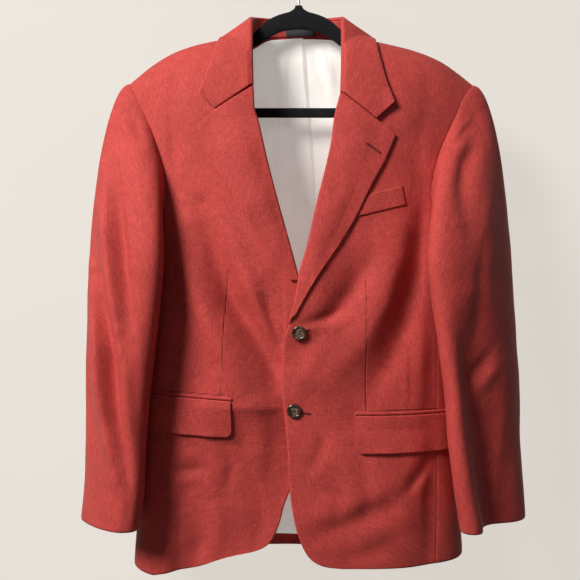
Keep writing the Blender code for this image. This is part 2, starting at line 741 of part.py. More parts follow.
def sleeve_point(side, place, t):
    """The sleeve: place round it in degrees, t from the armhole (0) past the crest to the cuff (1)."""
    place = place - 360 if place > SLEEVE_TIP else place
    out = Vector((side, 0, 0))
    ahead = Vector((0, -1, 0))
    if t > SLEEVE_CREST:
        z = mix(UNDERARM_CREST_Z, CUFF_Z, (t - SLEEVE_CREST) / (1 - SLEEVE_CREST))
        point = sleeve_ring(side, place, z)
    else:
        edge = armhole_point(side, ROUND_THE_ARMHOLE.at(place)[0])
        tube = sleeve_ring(side, place, UNDERARM_CREST_Z)
        forward = max(math.cos(math.radians(place - 35)), 0.0)
        leave = (out * (1.05 - forward) + ahead * forward).normalized()
        length = math.dist(edge, tube)
        rise = (sleeve_ring(side, place, UNDERARM_CREST_Z + 5) - tube).normalized()
        start = edge + out * ARMHOLE_GAP
        first = start + leave * max(length * 0.11, 10.0)
        point = bezier((start, first, tube + rise * length * 0.45, tube), t / SLEEVE_CREST)
    face = max(math.sin(math.radians(place)), 0.0) * smooth_step(t, 0.0, 0.12)
    return point + (ahead * 0.8 + out * 0.4) * relief(SLEEVE_FOLDS[side], point.x, point.z) * face


SLEEVE_CREST = 0.4


def sleeve_sheet(side):
    return Sheet(lambda place, t: sleeve_point(side, place, t))


# ---------------------------------------------------------------- meshes

def new_object(name, build, material, smooth=True):
    mesh = bpy.data.meshes.new(name)
    build.to_mesh(mesh)
    build.free()
    if smooth:
        mesh.shade_smooth()
        mesh.set_sharp_from_angle(angle=math.radians(40))
    piece = bpy.data.objects.new(name, mesh)
    bpy.context.scene.collection.objects.link(piece)
    mesh.materials.append(material)
    return piece


def new_material(name, colour, roughness, metallic=0.0):
    material = bpy.data.materials.new(name)
    material.use_nodes = True
    shader = material.node_tree.nodes["Principled BSDF"]
    shader.inputs["Base Color"].default_value = (*colour, 1.0)
    shader.inputs["Roughness"].default_value = roughness
    shader.inputs["Metallic"].default_value = metallic
    return material


def wall(name, sheet, across_steps, down_steps, thick, material, flip=False):
    """A closed cloth wall: the sheet's outer points, and the same moved in by its thickness."""
    build = bmesh.new()
    sheet.limits = ((across_steps[0], across_steps[-1]), (down_steps[0], down_steps[-1]))
    sheet.turn = -1 if flip else 1
    outer, inner = [], []
    for s in across_steps:
        for t in down_steps:
            place = sheet.point(s, t)
            outer.append(build.verts.new(place * MM))
            inner.append(build.verts.new((place - sheet.normal(s, t) * thick) * MM))
    rows, columns = len(across_steps), len(down_steps)

    def face(*corners):
        verts = [layer[i * columns + j] for layer, i, j in corners]
        build.faces.new(verts[::-1] if flip else verts)

    for i in range(rows - 1):
        for j in range(columns - 1):
            face((outer, i, j), (outer, i + 1, j), (outer, i + 1, j + 1), (outer, i, j + 1))
            face((inner, i, j + 1), (inner, i + 1, j + 1), (inner, i + 1, j), (inner, i, j))
    rim = [(i, 0) for i in range(rows)]
    rim += [(rows - 1, j) for j in range(1, columns)]
    rim += [(i, columns - 1) for i in range(rows - 2, -1, -1)]
    rim += [(0, j) for j in range(columns - 2, 0, -1)]
    for a, b in zip(rim, rim[1:] + rim[:1]):
        face((outer, *b), (outer, *a), (inner, *a), (inner, *b))
    return new_object(name, build, material)


def shoulder_steps(near, armhole, below):
    """Steps from the shoulder to the hem, close together where the shoulder rounds over."""
    close = [0.062 * (index / near) ** 2 for index in range(near)]
    return close + spaced(armhole, 0.062, 0.33) + spaced(below + 1, 0.33, 1.0)[1:]


# ---------------------------------------------------------------- coat

def make_body(cloth):
    back_steps = [0, 0.1, 0.2, 0.265, 0.31, 0.42, 0.56, 0.72, 0.87, 1]
    for side, word in SIDES.items():
        is_left = side == LEFT
        wall(f"front_{word}", front_sheet(side), spaced(11), shoulder_steps(6, 9, 12), CLOTH, cloth, is_left)
        wall(f"back_{word}", back_sheet(side), back_steps, shoulder_steps(6, 7, 10), CLOTH, cloth, not is_left)
        wall(f"side_panel_{word}", side_sheet(side), spaced(6), spaced(15), CLOTH, cloth, is_left)


def make_lapels(cloth):
    steps = [ROLLED_SHARE * share for share in (0, 0.23, 0.42, 0.615, 0.81)]
    steps += [mix(ROLLED_SHARE, 1.0, share) for share in (0, 0.2, 0.42, 0.63, 0.8, 1)]
    for side, word in SIDES.items():
        wall(f"lapel_{word}", lapel_sheet(side), steps, [0, 0.05, 0.11] + spaced(12, 0.18, 1), CLOTH, cloth,
             side == LEFT)


def make_collar(cloth):
    steps = [ROLLED_SHARE * share for share in (0, 0.33, 0.66)]
    steps += [mix(ROLLED_SHARE, 1.0, share) for share in (0, 0.22, 0.43, 0.63, 0.82, 1)]
    wall("collar_fall", Sheet(collar_fall_point), steps, spaced(2 * COLLAR_END + 1), CLOTH, cloth, True)
    wall("collar_stand", Sheet(collar_stand_point), spaced(3), spaced(2 * COLLAR_END - 15), CLOTH, cloth, True)


def make_sleeves(cloth):
    gap = SLEEVE_SEAM_TURN
    top_steps = spaced(12, SLEEVE_FRONT_SEAM + gap, SLEEVE_TIP) + spaced(4, SLEEVE_TIP, SLEEVE_BACK_SEAM - gap)[1:]
    under_steps = spaced(9, SLEEVE_BACK_SEAM + gap, SLEEVE_FRONT_SEAM + 360 - gap)
    down_steps = spaced(7, 0.0, SLEEVE_CREST) + spaced(9, SLEEVE_CREST, 1.0)[1:]
    for side, word in SIDES.items():
        flip = side == LEFT
        wall(f"top_sleeve_{word}", sleeve_sheet(side), top_steps, down_steps, CLOTH, cloth, flip)
        wall(f"under_sleeve_{word}", sleeve_sheet(side), under_steps, down_steps, CLOTH, cloth, flip)


def on_skin(side, inner, wide, top_z, low_z, lift):
    """A sheet on the body: s along its width, t from its top line to its lower line."""

    def spot(s, t):
        return inner + wide * s, mix(top_z(s), low_z(s), t)

    def point(s, t):
        reach, z = spot(s, t)
        return skin_point(side, reach, z) + skin_normal(side, reach, z) * lift(t)

    return Sheet(point, lambda s, t: skin_normal(side, *spot(s, t)))


def make_pockets(cloth):
    for side, word in SIDES.items():
        flap = FLAP[side]
        wide = flap["wide"]
        corner = FLAP_CORNER / wide
        top_z = lambda s, flap=flap: mix(flap["top_in"], flap["top_out"], s)

        def low_z(s, flap=flap, top_z=top_z, corner=corner):
            near = min(min(s, 1 - s) / corner, 1.0)
            return top_z(s) - flap["deep"] + FLAP_CORNER * (1 - math.sqrt(1 - (1 - near) ** 2))

        steps = [0, 0.15 * corner, 0.5 * corner, corner] + spaced(10, corner, 1 - corner)[1:]
        steps += [1 - 0.5 * corner, 1 - 0.15 * corner, 1]
        sheet = on_skin(side, flap["inner"], wide, top_z, low_z, lambda t: FLAP_LIFT + FLAP_FLARE * t)
        wall(f"pocket_flap_{word}", sheet, steps, spaced(4), FLAP_THICK, cloth, side == LEFT)
        jet = on_skin(side, flap["inner"] - 2, wide + 4, lambda s: top_z(s) + REST_GAP + JET_HIGH,
                      lambda s: top_z(s) + REST_GAP, lambda t: JET_LIFT)
        wall(f"pocket_jet_{word}", jet, spaced(16), spaced(2), JET_THICK, cloth, side == LEFT)


def make_welt(cloth):
    corners = [Vector(WELT[key]) for key in ("inner_top", "outer_top", "inner_low", "outer_low")]

    def spot(s, t):
        return corners[0].lerp(corners[1], s).lerp(corners[2].lerp(corners[3], s), t)

    def point(s, t):
        x, z = spot(s, t)
        return Vector((x, front_y(x, z, LEFT) - SEAM, z)) + front_normal(x, z, LEFT) * WELT_LIFT

    sheet = Sheet(point, lambda s, t: front_normal(*spot(s, t), LEFT))
    wall("breast_welt", sheet, spaced(6), spaced(3), WELT_THICK, cloth, True)


def lining_sheet():
    """The back lining, s from the wearer's right side to the left, t from the neck down."""
    places = {side: back_place(side) for side in SIDES}

    def spot(s, t):
        side = side_of(s)
        start = mix(0.0035, 0.017, smooth_step(abs(s), 0.17, 0.3))
        x, z = places[side](abs(s) * 0.965, mix(start, 0.976, t))
        return x + PLEAT_X.at(z)[0] * math.exp(-(x / 55) ** 2), z, x

    def point(s, t):
        x, z, plain_x = spot(s, t)
        side = side_of(x)
        fold = PLEAT_HIGH * max(1 + plain_x / PLEAT_WIDE, 0.0) if plain_x < 1.0 else 0.0
        skin = Vector((x, back_y(x, z, side) + SEAM, z))
        return skin - back_normal(x, z, side) * (CLOTH + LINING_GAP + LINING) - Vector((0, fold, 0))

    return Sheet(point)


def make_lining(lining, label_cloth):
    left = [-1, -0.86, -0.7, -0.55, -0.42, -0.31, -0.19, -0.1, -0.002]
    right = [0.014, 0.1, 0.2, 0.31, 0.42, 0.55, 0.7, 0.86, 1]
    wall("back_lining", lining_sheet(), left + right, [0, 0.02, 0.05] + spaced(10, 0.1, 1.0), LINING, lining, True)
    label = Sheet(label_point)
    wall("neck_label", label, spaced(5), spaced(2), 0.8, label_cloth, True)


def label_point(s, t):
    """The bare label, sewn on the lower half of the stand: s across, t down."""
    x = mix(LABEL_ENDS[0], LABEL_ENDS[1], s)
    middle = (COLLAR_END / 2 - STAND_ENDS[0]) / (STAND_ENDS[1] - STAND_ENDS[0])
    around = middle + (x + 1) / 24.0 / (STAND_ENDS[1] - STAND_ENDS[0])
    place = collar_stand_point(mix(0.56, 0.03, t), around)
    return place + Vector((0, -1, 0)) * (REST_GAP + 1.2)


# ---------------------------------------------------------------- buttons

def button_mesh(radius, thick, hole_radius, sides):
    """A sewn-through button facing +Z: flat back, rounded rim, sunken middle and four holes."""
    build = bmesh.new()

    def ring(at, size, height, count):
        turns = [2 * math.pi * (index + 0.5) / count for index in range(count)]
        spots = [(at[0] + size * math.cos(a), at[1] + size * math.sin(a), height) for a in turns]
        return [build.verts.new(Vector(spot) * MM) for spot in spots]

    def band(low, high):
        for index in range(len(low)):
            after = (index + 1) % len(low)
            build.faces.new((low[index], low[after], high[after], high[index]))

    profile = [(0.86, 0.0), (1.0, 0.35), (0.97, 0.8), (0.84, 1.0), (0.66, 0.72)]
    rings = [ring((0, 0), radius * wide, thick * high, sides) for wide, high in profile]
    for low, high in zip(rings, rings[1:]):
        band(low, high)
    reach = radius * 0.24
    floor_edges, back_edges = loop_edges(build, rings[-1]), loop_edges(build, rings[0])
    for turn in range(4):
        angle = math.radians(45 + 90 * turn)
        at = (reach * math.cos(angle), reach * math.sin(angle))
        low, high = ring(at, hole_radius, 0, 6), ring(at, hole_radius, thick * 0.72, 6)
        band(high, low)
        floor_edges += loop_edges(build, high)
        back_edges += loop_edges(build, low)
    for edges, facing in ((floor_edges, Vector((0, 0, 1))), (back_edges, Vector((0, 0, -1)))):
        bmesh.ops.triangle_fill(build, edges=edges, use_beauty=True, normal=facing)
    bmesh.ops.recalc_face_normals(build, faces=build.faces)
    return build


def loop_edges(build, verts):
    return [build.edges.get((a, b)) or build.edges.new((a, b)) for a, b in zip(verts, verts[1:] + verts[:1])]


def seat(piece, place, facing, lean=0.0):
    """Put a button on the cloth, its back just clear of it and its face along the normal."""
    turn = facing.to_track_quat("Z", "Y").to_matrix().to_4x4()
    turn.translation = (place + facing * (REST_GAP + lean)) * MM
    piece.data.transform(turn)


def make_buttons(horn):
    for word, (x, z) in FRONT_BUTTONS.items():
        piece = new_object(f"front_button_{word}", button_mesh(BUTTON_RADIUS, BUTTON_THICK, 1.1, 20), horn)
        facing = front_normal(x, z, LEFT)
        seat(piece, Vector((x, front_y(x, z, LEFT) - SEAM, z)), facing, lean=0.25)
    for side, word in SIDES.items():
        for index, order in enumerate(CUFF_BUTTONS):
            build = button_mesh(CUFF_BUTTON_RADIUS, CUFF_BUTTON_THICK, 0.9, 12)
            piece = new_object(f"cuff_button_{word}_{order}", build, horn)
            t = CUFF_BUTTON_LOW_T - CUFF_BUTTON_STEP_T * index
            sheet = sleeve_sheet(side)
            sheet.limits = ((150, 210), (0, 1))
            sheet.turn = -1 if side == LEFT else 1
            facing = sheet.normal(CUFF_BUTTON_PLACE, t)
            seat(piece, sheet.point(CUFF_BUTTON_PLACE, t), facing, lean=0.5)


# ---------------------------------------------------------------- hanger

def hanger_lines(side):
    """Outer and inner outline of half the hanger, point by point from the top to the bar's middle."""
    arm_x = spaced(8, 92, ARM_END_X - 12)
    drop = [ridge_z(x, side) - ARM_DROP for x in arm_x]
    low_z = BAR_TOP_Z - BAR_HIGH
    outer_end = [(ARM_END_X - 3, drop[-1] - 8), (ARM_END_X, drop[-1] - 22), (ARM_END_X, low_z + 26),
                 (ARM_END_X - 4, low_z + 8), (ARM_END_X - 14, low_z)]
    inner_end = [(arm_x[-1] - 6, drop[-1] - ARM_HIGH - 7), (arm_x[-1] - 2, drop[-1] - ARM_HIGH - 16),
                 (arm_x[-1] - 2, low_z + BAR_HIGH + 14), (arm_x[-1] - 6, low_z + BAR_HIGH + 5),
                 (arm_x[-1] - 16, low_z + BAR_HIGH)]
    bar_x = [ARM_END_X * share for share in (0.6, 0.3, 0.0)]
    outer = arch(ARCH_TOP) + list(zip(arm_x, drop)) + outer_end + [(x, low_z) for x in bar_x]
    under = [z - ARM_HIGH for z in drop]
    inner_x = spaced(8, 96, ARM_END_X - 24)
    inner = arch(ARCH_UNDER) + list(zip(inner_x, under)) + inner_end
    inner += [(x, low_z + BAR_HIGH) for x in bar_x]
    return outer, inner


def arch(line):
    """Ten points from the middle of the neck arch to where it meets the arm."""
    curve = path(line)
    return [curve.at(share) for share in (0, 0.035, 0.06, 0.11, 0.2, 0.35, 0.5, 0.66, 0.83, 1)]


def make_hanger(flock, wire):
    build = bmesh.new()
    right_half, left_half = hanger_lines(RIGHT), hanger_lines(LEFT)
    outer = right_half[0] + [(-x, z) for x, z in left_half[0][-2:0:-1]]
    inner = right_half[1] + [(-x, z) for x, z in left_half[1][-2:0:-1]]
    round_off = 1.4
    bands = []
    for (ax, az), (bx, bz) in zip(outer, inner):
        a, b = Vector((-ax, 0, az)), Vector((-bx, 0, bz))
        inward = (b - a).normalized() * round_off
        deep = HANGER_HALF_THICK
        section = [(a, -deep + round_off), (a + inward, -deep), (b - inward, -deep), (b, -deep + round_off),
                   (b, deep - round_off), (b - inward, deep), (a + inward, deep), (a, deep - round_off)]
        bands.append([build.verts.new((place + Vector((0, y, 0))) * MM) for place, y in section])
    for band, after in zip(bands, bands[1:] + bands[:1]):
        for low in range(8):
            high = (low + 1) % 8
            build.faces.new((band[low], band[high], after[high], after[low]))
    bmesh.ops.recalc_face_normals(build, faces=build.faces)
    new_object("hanger_body", build, flock)
    make_hook(wire)


def make_hook(wire):
    """The bent wire: up from the nub, out to the side, over the top and down to its tip."""
    middle_z = -HOOK_INNER_RADIUS
    reach = HOOK_INNER_RADIUS + WIRE_RADIUS
    stem = [(0, 0, NUB_TOP_Z + REST_GAP), (0, 0, -66), (0, 0, -58), (1.2, 0, -51), (5, 0, -44.5)]
    turns = [math.radians(angle) for angle in range(-50, 216, 14)]
    bow = [(reach * math.cos(a), 0, middle_z + reach * math.sin(a)) for a in turns]
    curve = bpy.data.curves.new("hanger_hook", "CURVE")
    curve.dimensions = "3D"
    curve.bevel_depth = WIRE_RADIUS * MM
    curve.bevel_resolution = 2
    curve.use_fill_caps = True
    spline = curve.splines.new("POLY")
    spline.points.add(len(stem + bow) - 1)
    for point, place in zip(spline.points, stem + bow):
        point.co = (*(Vector(place) * MM), 1.0)
    hook = bpy.data.objects.new("hanger_hook", curve)
    bpy.context.scene.collection.objects.link(hook)
    curve.materials.append(wire)


def main():
    for item in list(bpy.data.objects):
        bpy.data.objects.remove(item)
    cloth = new_material("cloth", (0.52, 0.08, 0.06), 0.85)
    make_body(cloth)
    make_lapels(cloth)
    make_collar(cloth)
    make_sleeves(cloth)
    make_pockets(cloth)
    make_welt(cloth)
    make_lining(new_material("lining", (0.80, 0.77, 0.71), 0.45), new_material("label", (0.06, 0.06, 0.07), 0.6))
    make_buttons(new_material("horn", (0.10, 0.055, 0.03), 0.3))
    make_hanger(new_material("flock", (0.012, 0.012, 0.013), 0.95), new_material("wire", (0.5, 0.5, 0.52), 0.3, 1.0))


main()
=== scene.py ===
"""Look of the sport coat and its hanger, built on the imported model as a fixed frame.

Tables are in millimetres; meshes are in metres. The origin is the inner top of the hook, +Z is up, the coat
faces -Y, and the wearer's left side is at +X.
"""

import math

import bmesh
import bpy
import numpy as np
from mathutils import Matrix, Vector


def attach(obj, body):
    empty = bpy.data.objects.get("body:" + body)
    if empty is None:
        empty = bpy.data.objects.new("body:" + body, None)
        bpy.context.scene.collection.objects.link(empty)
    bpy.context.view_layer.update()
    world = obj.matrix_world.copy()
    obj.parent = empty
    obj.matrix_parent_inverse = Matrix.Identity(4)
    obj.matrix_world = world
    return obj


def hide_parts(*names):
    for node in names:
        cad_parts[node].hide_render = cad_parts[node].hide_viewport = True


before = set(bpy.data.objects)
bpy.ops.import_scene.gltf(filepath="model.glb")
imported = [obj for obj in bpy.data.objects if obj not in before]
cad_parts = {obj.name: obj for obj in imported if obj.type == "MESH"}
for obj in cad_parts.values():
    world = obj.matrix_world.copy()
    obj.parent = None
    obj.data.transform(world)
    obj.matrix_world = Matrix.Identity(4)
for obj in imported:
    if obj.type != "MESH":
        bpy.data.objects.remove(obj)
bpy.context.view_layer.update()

MM = 0.001
LEFT = 1
RIGHT = -1
SIDES = {LEFT: "left", RIGHT: "right"}

# Driving dimensions
CLOTH = 2.0                 # wall of the coat's cloth with its interlining
LINING = 1.0
SEAM = 0.25                 # half the gap between two pieces at a seam
TURN_PROFILE = ((0.3, 0.1), (0.62, 0.38), (0.85, 0.9))  # a seam allowance's bend, on and in, by its reach
SOFT_RIM = 0.32             # share of its thickness that a shell's edge is rounded by
UNSEWN = 99.0               # distance to a seam that isn't there
ARMHOLE_GAP = 1.2           # the sleeve's and the body's edges are sampled apart, so this is wider
REST_GAP = 0.4              # gap between a piece and the one it lies on
ROLL_RADIUS = 4.0           # outer radius of the rolled lapel and collar
LAPEL_LIFT = 4.2            # lapel's outer face above the front, at its free edge
LAPEL_BELLY = 2.5
COLLAR_LIFT = 4.4

SHOULDER_FRONT = 28.0       # how far the shoulder rounds forward
SHOULDER_BACK = 24.0
SHOULDER_DROP = 45.0        # height over which it does
SHOULDER_SHARE = 0.062      # part of a panel's length in which it rounds over the shoulder
FRONT_FALL = 90.0           # height over which the chest comes forward
BACK_FALL = 110.0
FLAT_HALF_WIDTH = 40.0      # the front and the back are flat this far from the middle
FRONT_SEAM_X = 190.0
BACK_SEAM_X = 205.0
FRONT_SIDE_DEPTH = 50.0     # depth of the front at the side seam
BACK_SIDE_DEPTH = 22.0
NECK_X = 76.0               # where the shoulder seam meets the neck
NECK_Z = -121.0
NECK_BACK_Z = -113.0
NECK_BACK_Y = 31.0
UNDERARM_Z = -395.0
UNDERARM_DIP = 23.0
UNDERARM_CREST_Z = -465.0   # the sleeve is a plain tube below this

BUTTON_RADIUS = 9.8
BUTTON_THICK = 3.4
CUFF_BUTTON_RADIUS = 6.9
CUFF_BUTTON_THICK = 3.0
# A button's half section from its back round the rim to the dished face: shares of radius and thickness.
BUTTON_PROFILE = [(0.80, 0.0), (0.93, 0.1), (1.0, 0.35), (1.0, 0.55), (0.965, 0.8), (0.9, 0.95), (0.83, 1.0),
                  (0.76, 0.97), (0.7, 0.86), (0.64, 0.76), (0.55, 0.7)]
BUTTON_HOLE_SIDES = 14

HANGER_HALF_THICK = 3.0
WIRE_RADIUS = 1.75
HOOK_INNER_RADIUS = 20.0


# ---------------------------------------------------------------- tables and smooth lines

def gentle_mean(a, b):
    size = np.minimum(np.abs(a + b) / 2, 2 * np.minimum(np.abs(a), np.abs(b)))
    return np.where(a * b > 0, np.sign(a) * size, 0.0)


class Curve:
    """Smooth values between a table's rows, whose keys rise."""

    def __init__(self, keys, rows):
        self.keys = np.array(keys, float)
        self.rows = np.array(rows, float)
        secants = np.diff(self.rows, axis=0) / np.diff(self.keys)[:, None]
        self.slopes = gentle_mean(np.vstack([secants[:1], secants]), np.vstack([secants, secants[-1:]]))

    def at(self, key):
        key = np.clip(key, self.keys[0], self.keys[-1])
        index = np.clip(np.searchsorted(self.keys, key) - 1, 0, len(self.keys) - 2)
        run = (self.keys[index + 1] - self.keys[index])[..., None]
        u = (key - self.keys[index])[..., None] / run
        start = 2 * u ** 3 - 3 * u ** 2 + 1
        leave = (u ** 3 - 2 * u ** 2 + u) * run
        arrive = (u ** 3 - u ** 2) * run
        rows, slopes = self.rows, self.slopes
        return (rows[index] * start + slopes[index] * leave
                + rows[index + 1] * (1 - start) + slopes[index + 1] * arrive)

    def value(self, key):
        return self.at(key)[..., 0]


class Broken:
    """Straight lines between points, keyed by the fraction of the whole length."""

    def __init__(self, keys, points):
        self.keys = keys
        self.points = np.array(points, float)

    def at(self, key):
        columns = [np.interp(key, self.keys, column) for column in self.points.T]
        return np.stack(columns, axis=-1)


def path(points, bent=False):
    """A line through points, keyed by the fraction of its length; bent keeps its corners."""
    points = np.array(points, float)
    steps = np.linalg.norm(np.diff(points, axis=0), axis=1)
    keys = np.concatenate([[0.0], np.cumsum(steps)]) / steps.sum()
    return Broken(keys, points) if bent else Curve(keys, points)


def down_table(rows):
    """A table whose first column is its key, mostly z, in any order."""
    rows = sorted(rows)
    return Curve([row[0] for row in rows], [row[1:] for row in rows])


def mix(a, b, t):
    return a + (b - a) * t


def smooth_step(value, low, high):
    t = np.clip((value - low) / (high - low), 0.0, 1.0)
    return t * t * (3 - 2 * t)


def joined(*parts):
    """Points from their coordinates, each a number or an array."""
    return np.stack(np.broadcast_arrays(*[np.asarray(part, float) for part in parts]), axis=-1)


def unit(vectors):
    return vectors / np.maximum(np.linalg.norm(vectors, axis=-1, keepdims=True), 1e-9)


def patch(inner, outer, top, bottom):
    """A four-sided patch between boundary lines: s runs inner to outer, t top to bottom."""

    def at(s, t):
        sides = mix(inner.at(t), outer.at(t), s[..., None]) + mix(top.at(s), bottom.at(s), t[..., None])
        first = mix(inner.at(np.array(0.0)), outer.at(np.array(0.0)), s[..., None])
        last = mix(inner.at(np.array(1.0)), outer.at(np.array(1.0)), s[..., None])
        return sides - mix(first, last, t[..., None])

    return at


def creased(folds, x, z):
    """Height of the folds at a place. Each has its height, its half widths on its +X and its -X side when
    its line runs down, and the line as (x, z)."""
    total = np.zeros(np.broadcast(x, z).shape)
    for height, right, left, line in folds:
        reach = 3 * max(right, left)
        xs, zs = [p[0] for p in line], [p[1] for p in line]
        near = (x > min(xs) - reach) & (x < max(xs) + reach) & (z > min(zs) - reach) & (z < max(zs) + reach)
        if near.any():
            total[near] += height * one_crease(line, right, left, x[near], z[near])
    return total


def stretches(line, x, z):
    """For each stretch of a line: how far along the line each place is, its gap to it, and its side."""
    for index, ((ax, az), (bx, bz)) in enumerate(zip(line, line[1:])):
        dx, dz = bx - ax, bz - az
        t = np.clip(((x - ax) * dx + (z - az) * dz) / (dx * dx + dz * dz), 0.0, 1.0)
        yield index + t, np.hypot(x - ax - dx * t, z - az - dz * t), dx * (z - az) - dz * (x - ax)


def one_crease(line, right, left, x, z):
    nearest = np.full(x.shape, 1e9)
    side = np.zeros(x.shape)
    place = np.zeros(x.shape)
    for reached, gap, beside in stretches(line, x, z):
        closer = gap < nearest
        nearest = np.where(closer, gap, nearest)
        side = np.where(closer, beside, side)
        place = np.where(closer, reached / (len(line) - 1), place)
    fade = np.sin(np.pi * np.clip(place, 0.04, 0.96)) ** 0.7
    width = np.where(side > 0, right, left)
    return fade * np.exp(-(nearest / width) ** 2)


def ripples(x, z, seed, height=0.5):
    """Slight unevenness that any worn cloth has, as a few crossing waves."""
    random = np.random.default_rng(seed)
    total = 0.0
    for length in (150, 110, 80, 58, 42, 31):
        turn, phase = random.uniform(0, np.pi), random.uniform(0, 2 * np.pi)
        across = x * np.cos(turn) + z * np.sin(turn)
        along = z * np.cos(turn) - x * np.sin(turn)
        bend = 0.6 * np.sin(along * 2 * np.pi / (length * 1.9) + phase * 2)
        total = total + length / 150 * np.sin(across * 2 * np.pi / length + phase + bend)
    return total * height


# ---------------------------------------------------------------- outline of the coat, as (x, z)

# Top of the shoulders: distance out from the middle, height.
RIDGE = {
    RIGHT: Curve([76, 112, 156, 184, 212, 243], [[-121], [-126], [-136], [-147], [-164], [-189]]),
    LEFT: Curve([76, 109, 140, 167, 209, 251], [[-121], [-128], [-135], [-142], [-160], [-191]]),
}
TIP = {RIGHT: (-243, -189), LEFT: (251, -191)}

# Roll lines of the lapels, from the gorge down.
ROLL = {
    RIGHT: [(-62.7, -206), (-61, -237), (-56, -253), (-45, -301), (-32, -353), (-19, -400),
            (-9, -436), (1, -474)],
    LEFT: [(56, -216), (48, -247.5), (43, -285), (36, -317), (27, -353), (20, -382), (10, -426),
           (-0.5, -462), (-7, -500), (-16.5, -531)],
}
# Free edges of the lapels, from the tip down.
LAPEL_EDGE = {
    RIGHT: [(-140, -261), (-132, -287), (-118, -313), (-102, -342), (-84, -371), (-61, -405),
            (-42.5, -434), (-24.5, -457), (-12, -474)],
    LEFT: [(133, -275), (117, -310.5), (98, -345), (77, -387), (59, -418), (43, -441.5),
           (25, -467), (5, -500), (-6, -520)],
}
NOTCH = {RIGHT: (-114, -239), LEFT: (105, -253.5)}

# Front edges below the roll, down to the hem.
FRONT_EDGE = {
    RIGHT: [(8, -505), (13, -545), (15, -600), (13, -660), (7, -710), (-4, -745), (-20, -783),
            (-27, -809), (-35.5, -829), (-46, -841), (-63, -848.5), (-81, -851)],
    LEFT: [(-20, -548), (-22, -567), (-23.4, -599), (-22.7, -632.5), (-20, -658), (-16.5, -693),
           (-14.7, -727.5), (-13, -759), (-9, -788.5), (-3, -815), (6, -838), (16, -852),
           (32, -861), (58, -865.5)],
}
FRONT_HEM = {
    RIGHT: [(-81, -851), (-115, -861), (-140, -870), (-174, -877), (-202, -883)],
    LEFT: [(58, -865.5), (100, -866.5), (137.5, -867), (188, -865)],
}
# Armholes down to the side seam, then the side seam itself.
ARMHOLE_FRONT = {
    RIGHT: [(-243, -189), (-223, -228), (-207, -260), (-195, -293.5), (-186.5, -324),
            (-183, -358), (-190, UNDERARM_Z)],
    LEFT: [(251, -191), (236, -208.5), (222, -237), (209, -263), (197, -288), (187, -318),
           (182, -350), (190, UNDERARM_Z)],
}
SIDE_SEAM_FRONT = {
    RIGHT: [(-190, UNDERARM_Z), (-194, -520), (-200, -640), (-209, -760), (-202, -883)],
    LEFT: [(190, UNDERARM_Z), (190, -520), (190, -640), (190, -760), (188, -865)],
}
ARMHOLE_BACK = {
    RIGHT: [(-243, -189), (-232, -215), (-215, -250), (-203, -290), (-197, -340), (-205, UNDERARM_Z)],
    LEFT: [(251, -191), (238, -215), (220, -250), (206, -290), (199, -340), (205, UNDERARM_Z)],
}
SIDE_SEAM_BACK = {
    RIGHT: [(-205, UNDERARM_Z), (-203, -520), (-206, -640), (-212, -760), (-218, -868)],
    LEFT: [(205, UNDERARM_Z), (203, -520), (206, -640), (210, -760), (216, -860)],
}
BACK_HEM_Z = -865
# Furthest out that the side panel reaches: height, x.
SIDE_REACH = down_table([(-395, 213), (-500, 216), (-600, 219), (-700, 225), (-800, 231), (-887, 235)])
SIDE_HEM_Z = {RIGHT: (-883, -868), LEFT: (-865, -860)}

# Depth of the chest and of the back at the middle: height, depth.
CHEST = down_table([(-120, 74), (-207, 76), (-300, 78), (-465, 80), (-560, 81), (-650, 80),
                    (-760, 76), (-890, 70)])
BLADES = down_table([(-120, 38), (-250, 41), (-400, 40), (-600, 36), (-890, 35)])
# How far the buttoned left front stands in front of the right one: height, distance.
OVERLAP = down_table([(-300, 0), (-380, 5), (-440, 11), (-500, 11.5), (-535, 9), (-580, 3.4), (-750, 3.4),
                      (-800, 4.5), (-890, 4.5)])

# Sleeve below the crest: height, outermost x, innermost x, y of the middle, turn of the flat section
# from the x axis in degrees, half thickness.
SLEEVE = {
    RIGHT: down_table([
        (-440, -297, -178.5, -60, 45, 33.5),
        (-512, -299, -185, -60, 46, 33),
        (-575, -300, -193, -60, 47, 33),
        (-632, -300, -199.5, -59, 48, 32),
        (-694, -300, -205, -58, 49, 31),
        (-750, -303, -207, -57, 50, 30),
        (-806, -308, -215, -56, 50, 29),
    ]),
    LEFT: down_table([
        (-440, 303, 166, -61, 43, 33.5),
        (-512, 307, 174.5, -61, 44, 33),
        (-563, 310.5, 183, -60, 45, 33),
        (-632, 315, 191, -59, 47, 32),
        (-694, 316, 196, -58, 48, 31.5),
        (-750, 319, 203.5, -58, 49, 31),
        (-806, 322, 213, -58, 49, 31),
    ]),
}
CUFF_Z = -806
# Deep fold down the left forearm: height, place round the sleeve, half width, depth.
FOREARM_FOLD = down_table([(-490, 62, 26, 0), (-560, 56, 26, 12), (-620, 60, 27, 20), (-700, 68, 28, 25),
                           (-806, 74, 28, 30)])
# Place round the sleeve against place round the armhole, where 0 is the shoulder tip, 1 the front side
# seam, 2 the back side seam and 3 the tip again.
ROUND_THE_ARMHOLE = down_table([(-205, 3.0), (-180, 2.66), (-150, 2.26), (-132, 2.0), (-115, 1.76),
                                (-98, 1.45), (-80, 1.17), (-63, 0.98), (-45, 0.91), (-28, 0.84),
                                (0, 0.74), (30, 0.62), (90, 0.36), (155, 0.0)])
SLEEVE_CREST = 0.4          # t at which the sleeve head has become the plain tube
SLEEVE_TIP = 155.0
SLEEVE_FRONT_SEAM = -28.0
SLEEVE_BACK_SEAM = 192.0
SLEEVE_SEAM_TURN = 0.45     # half the gap at the sleeve's seams, in degrees

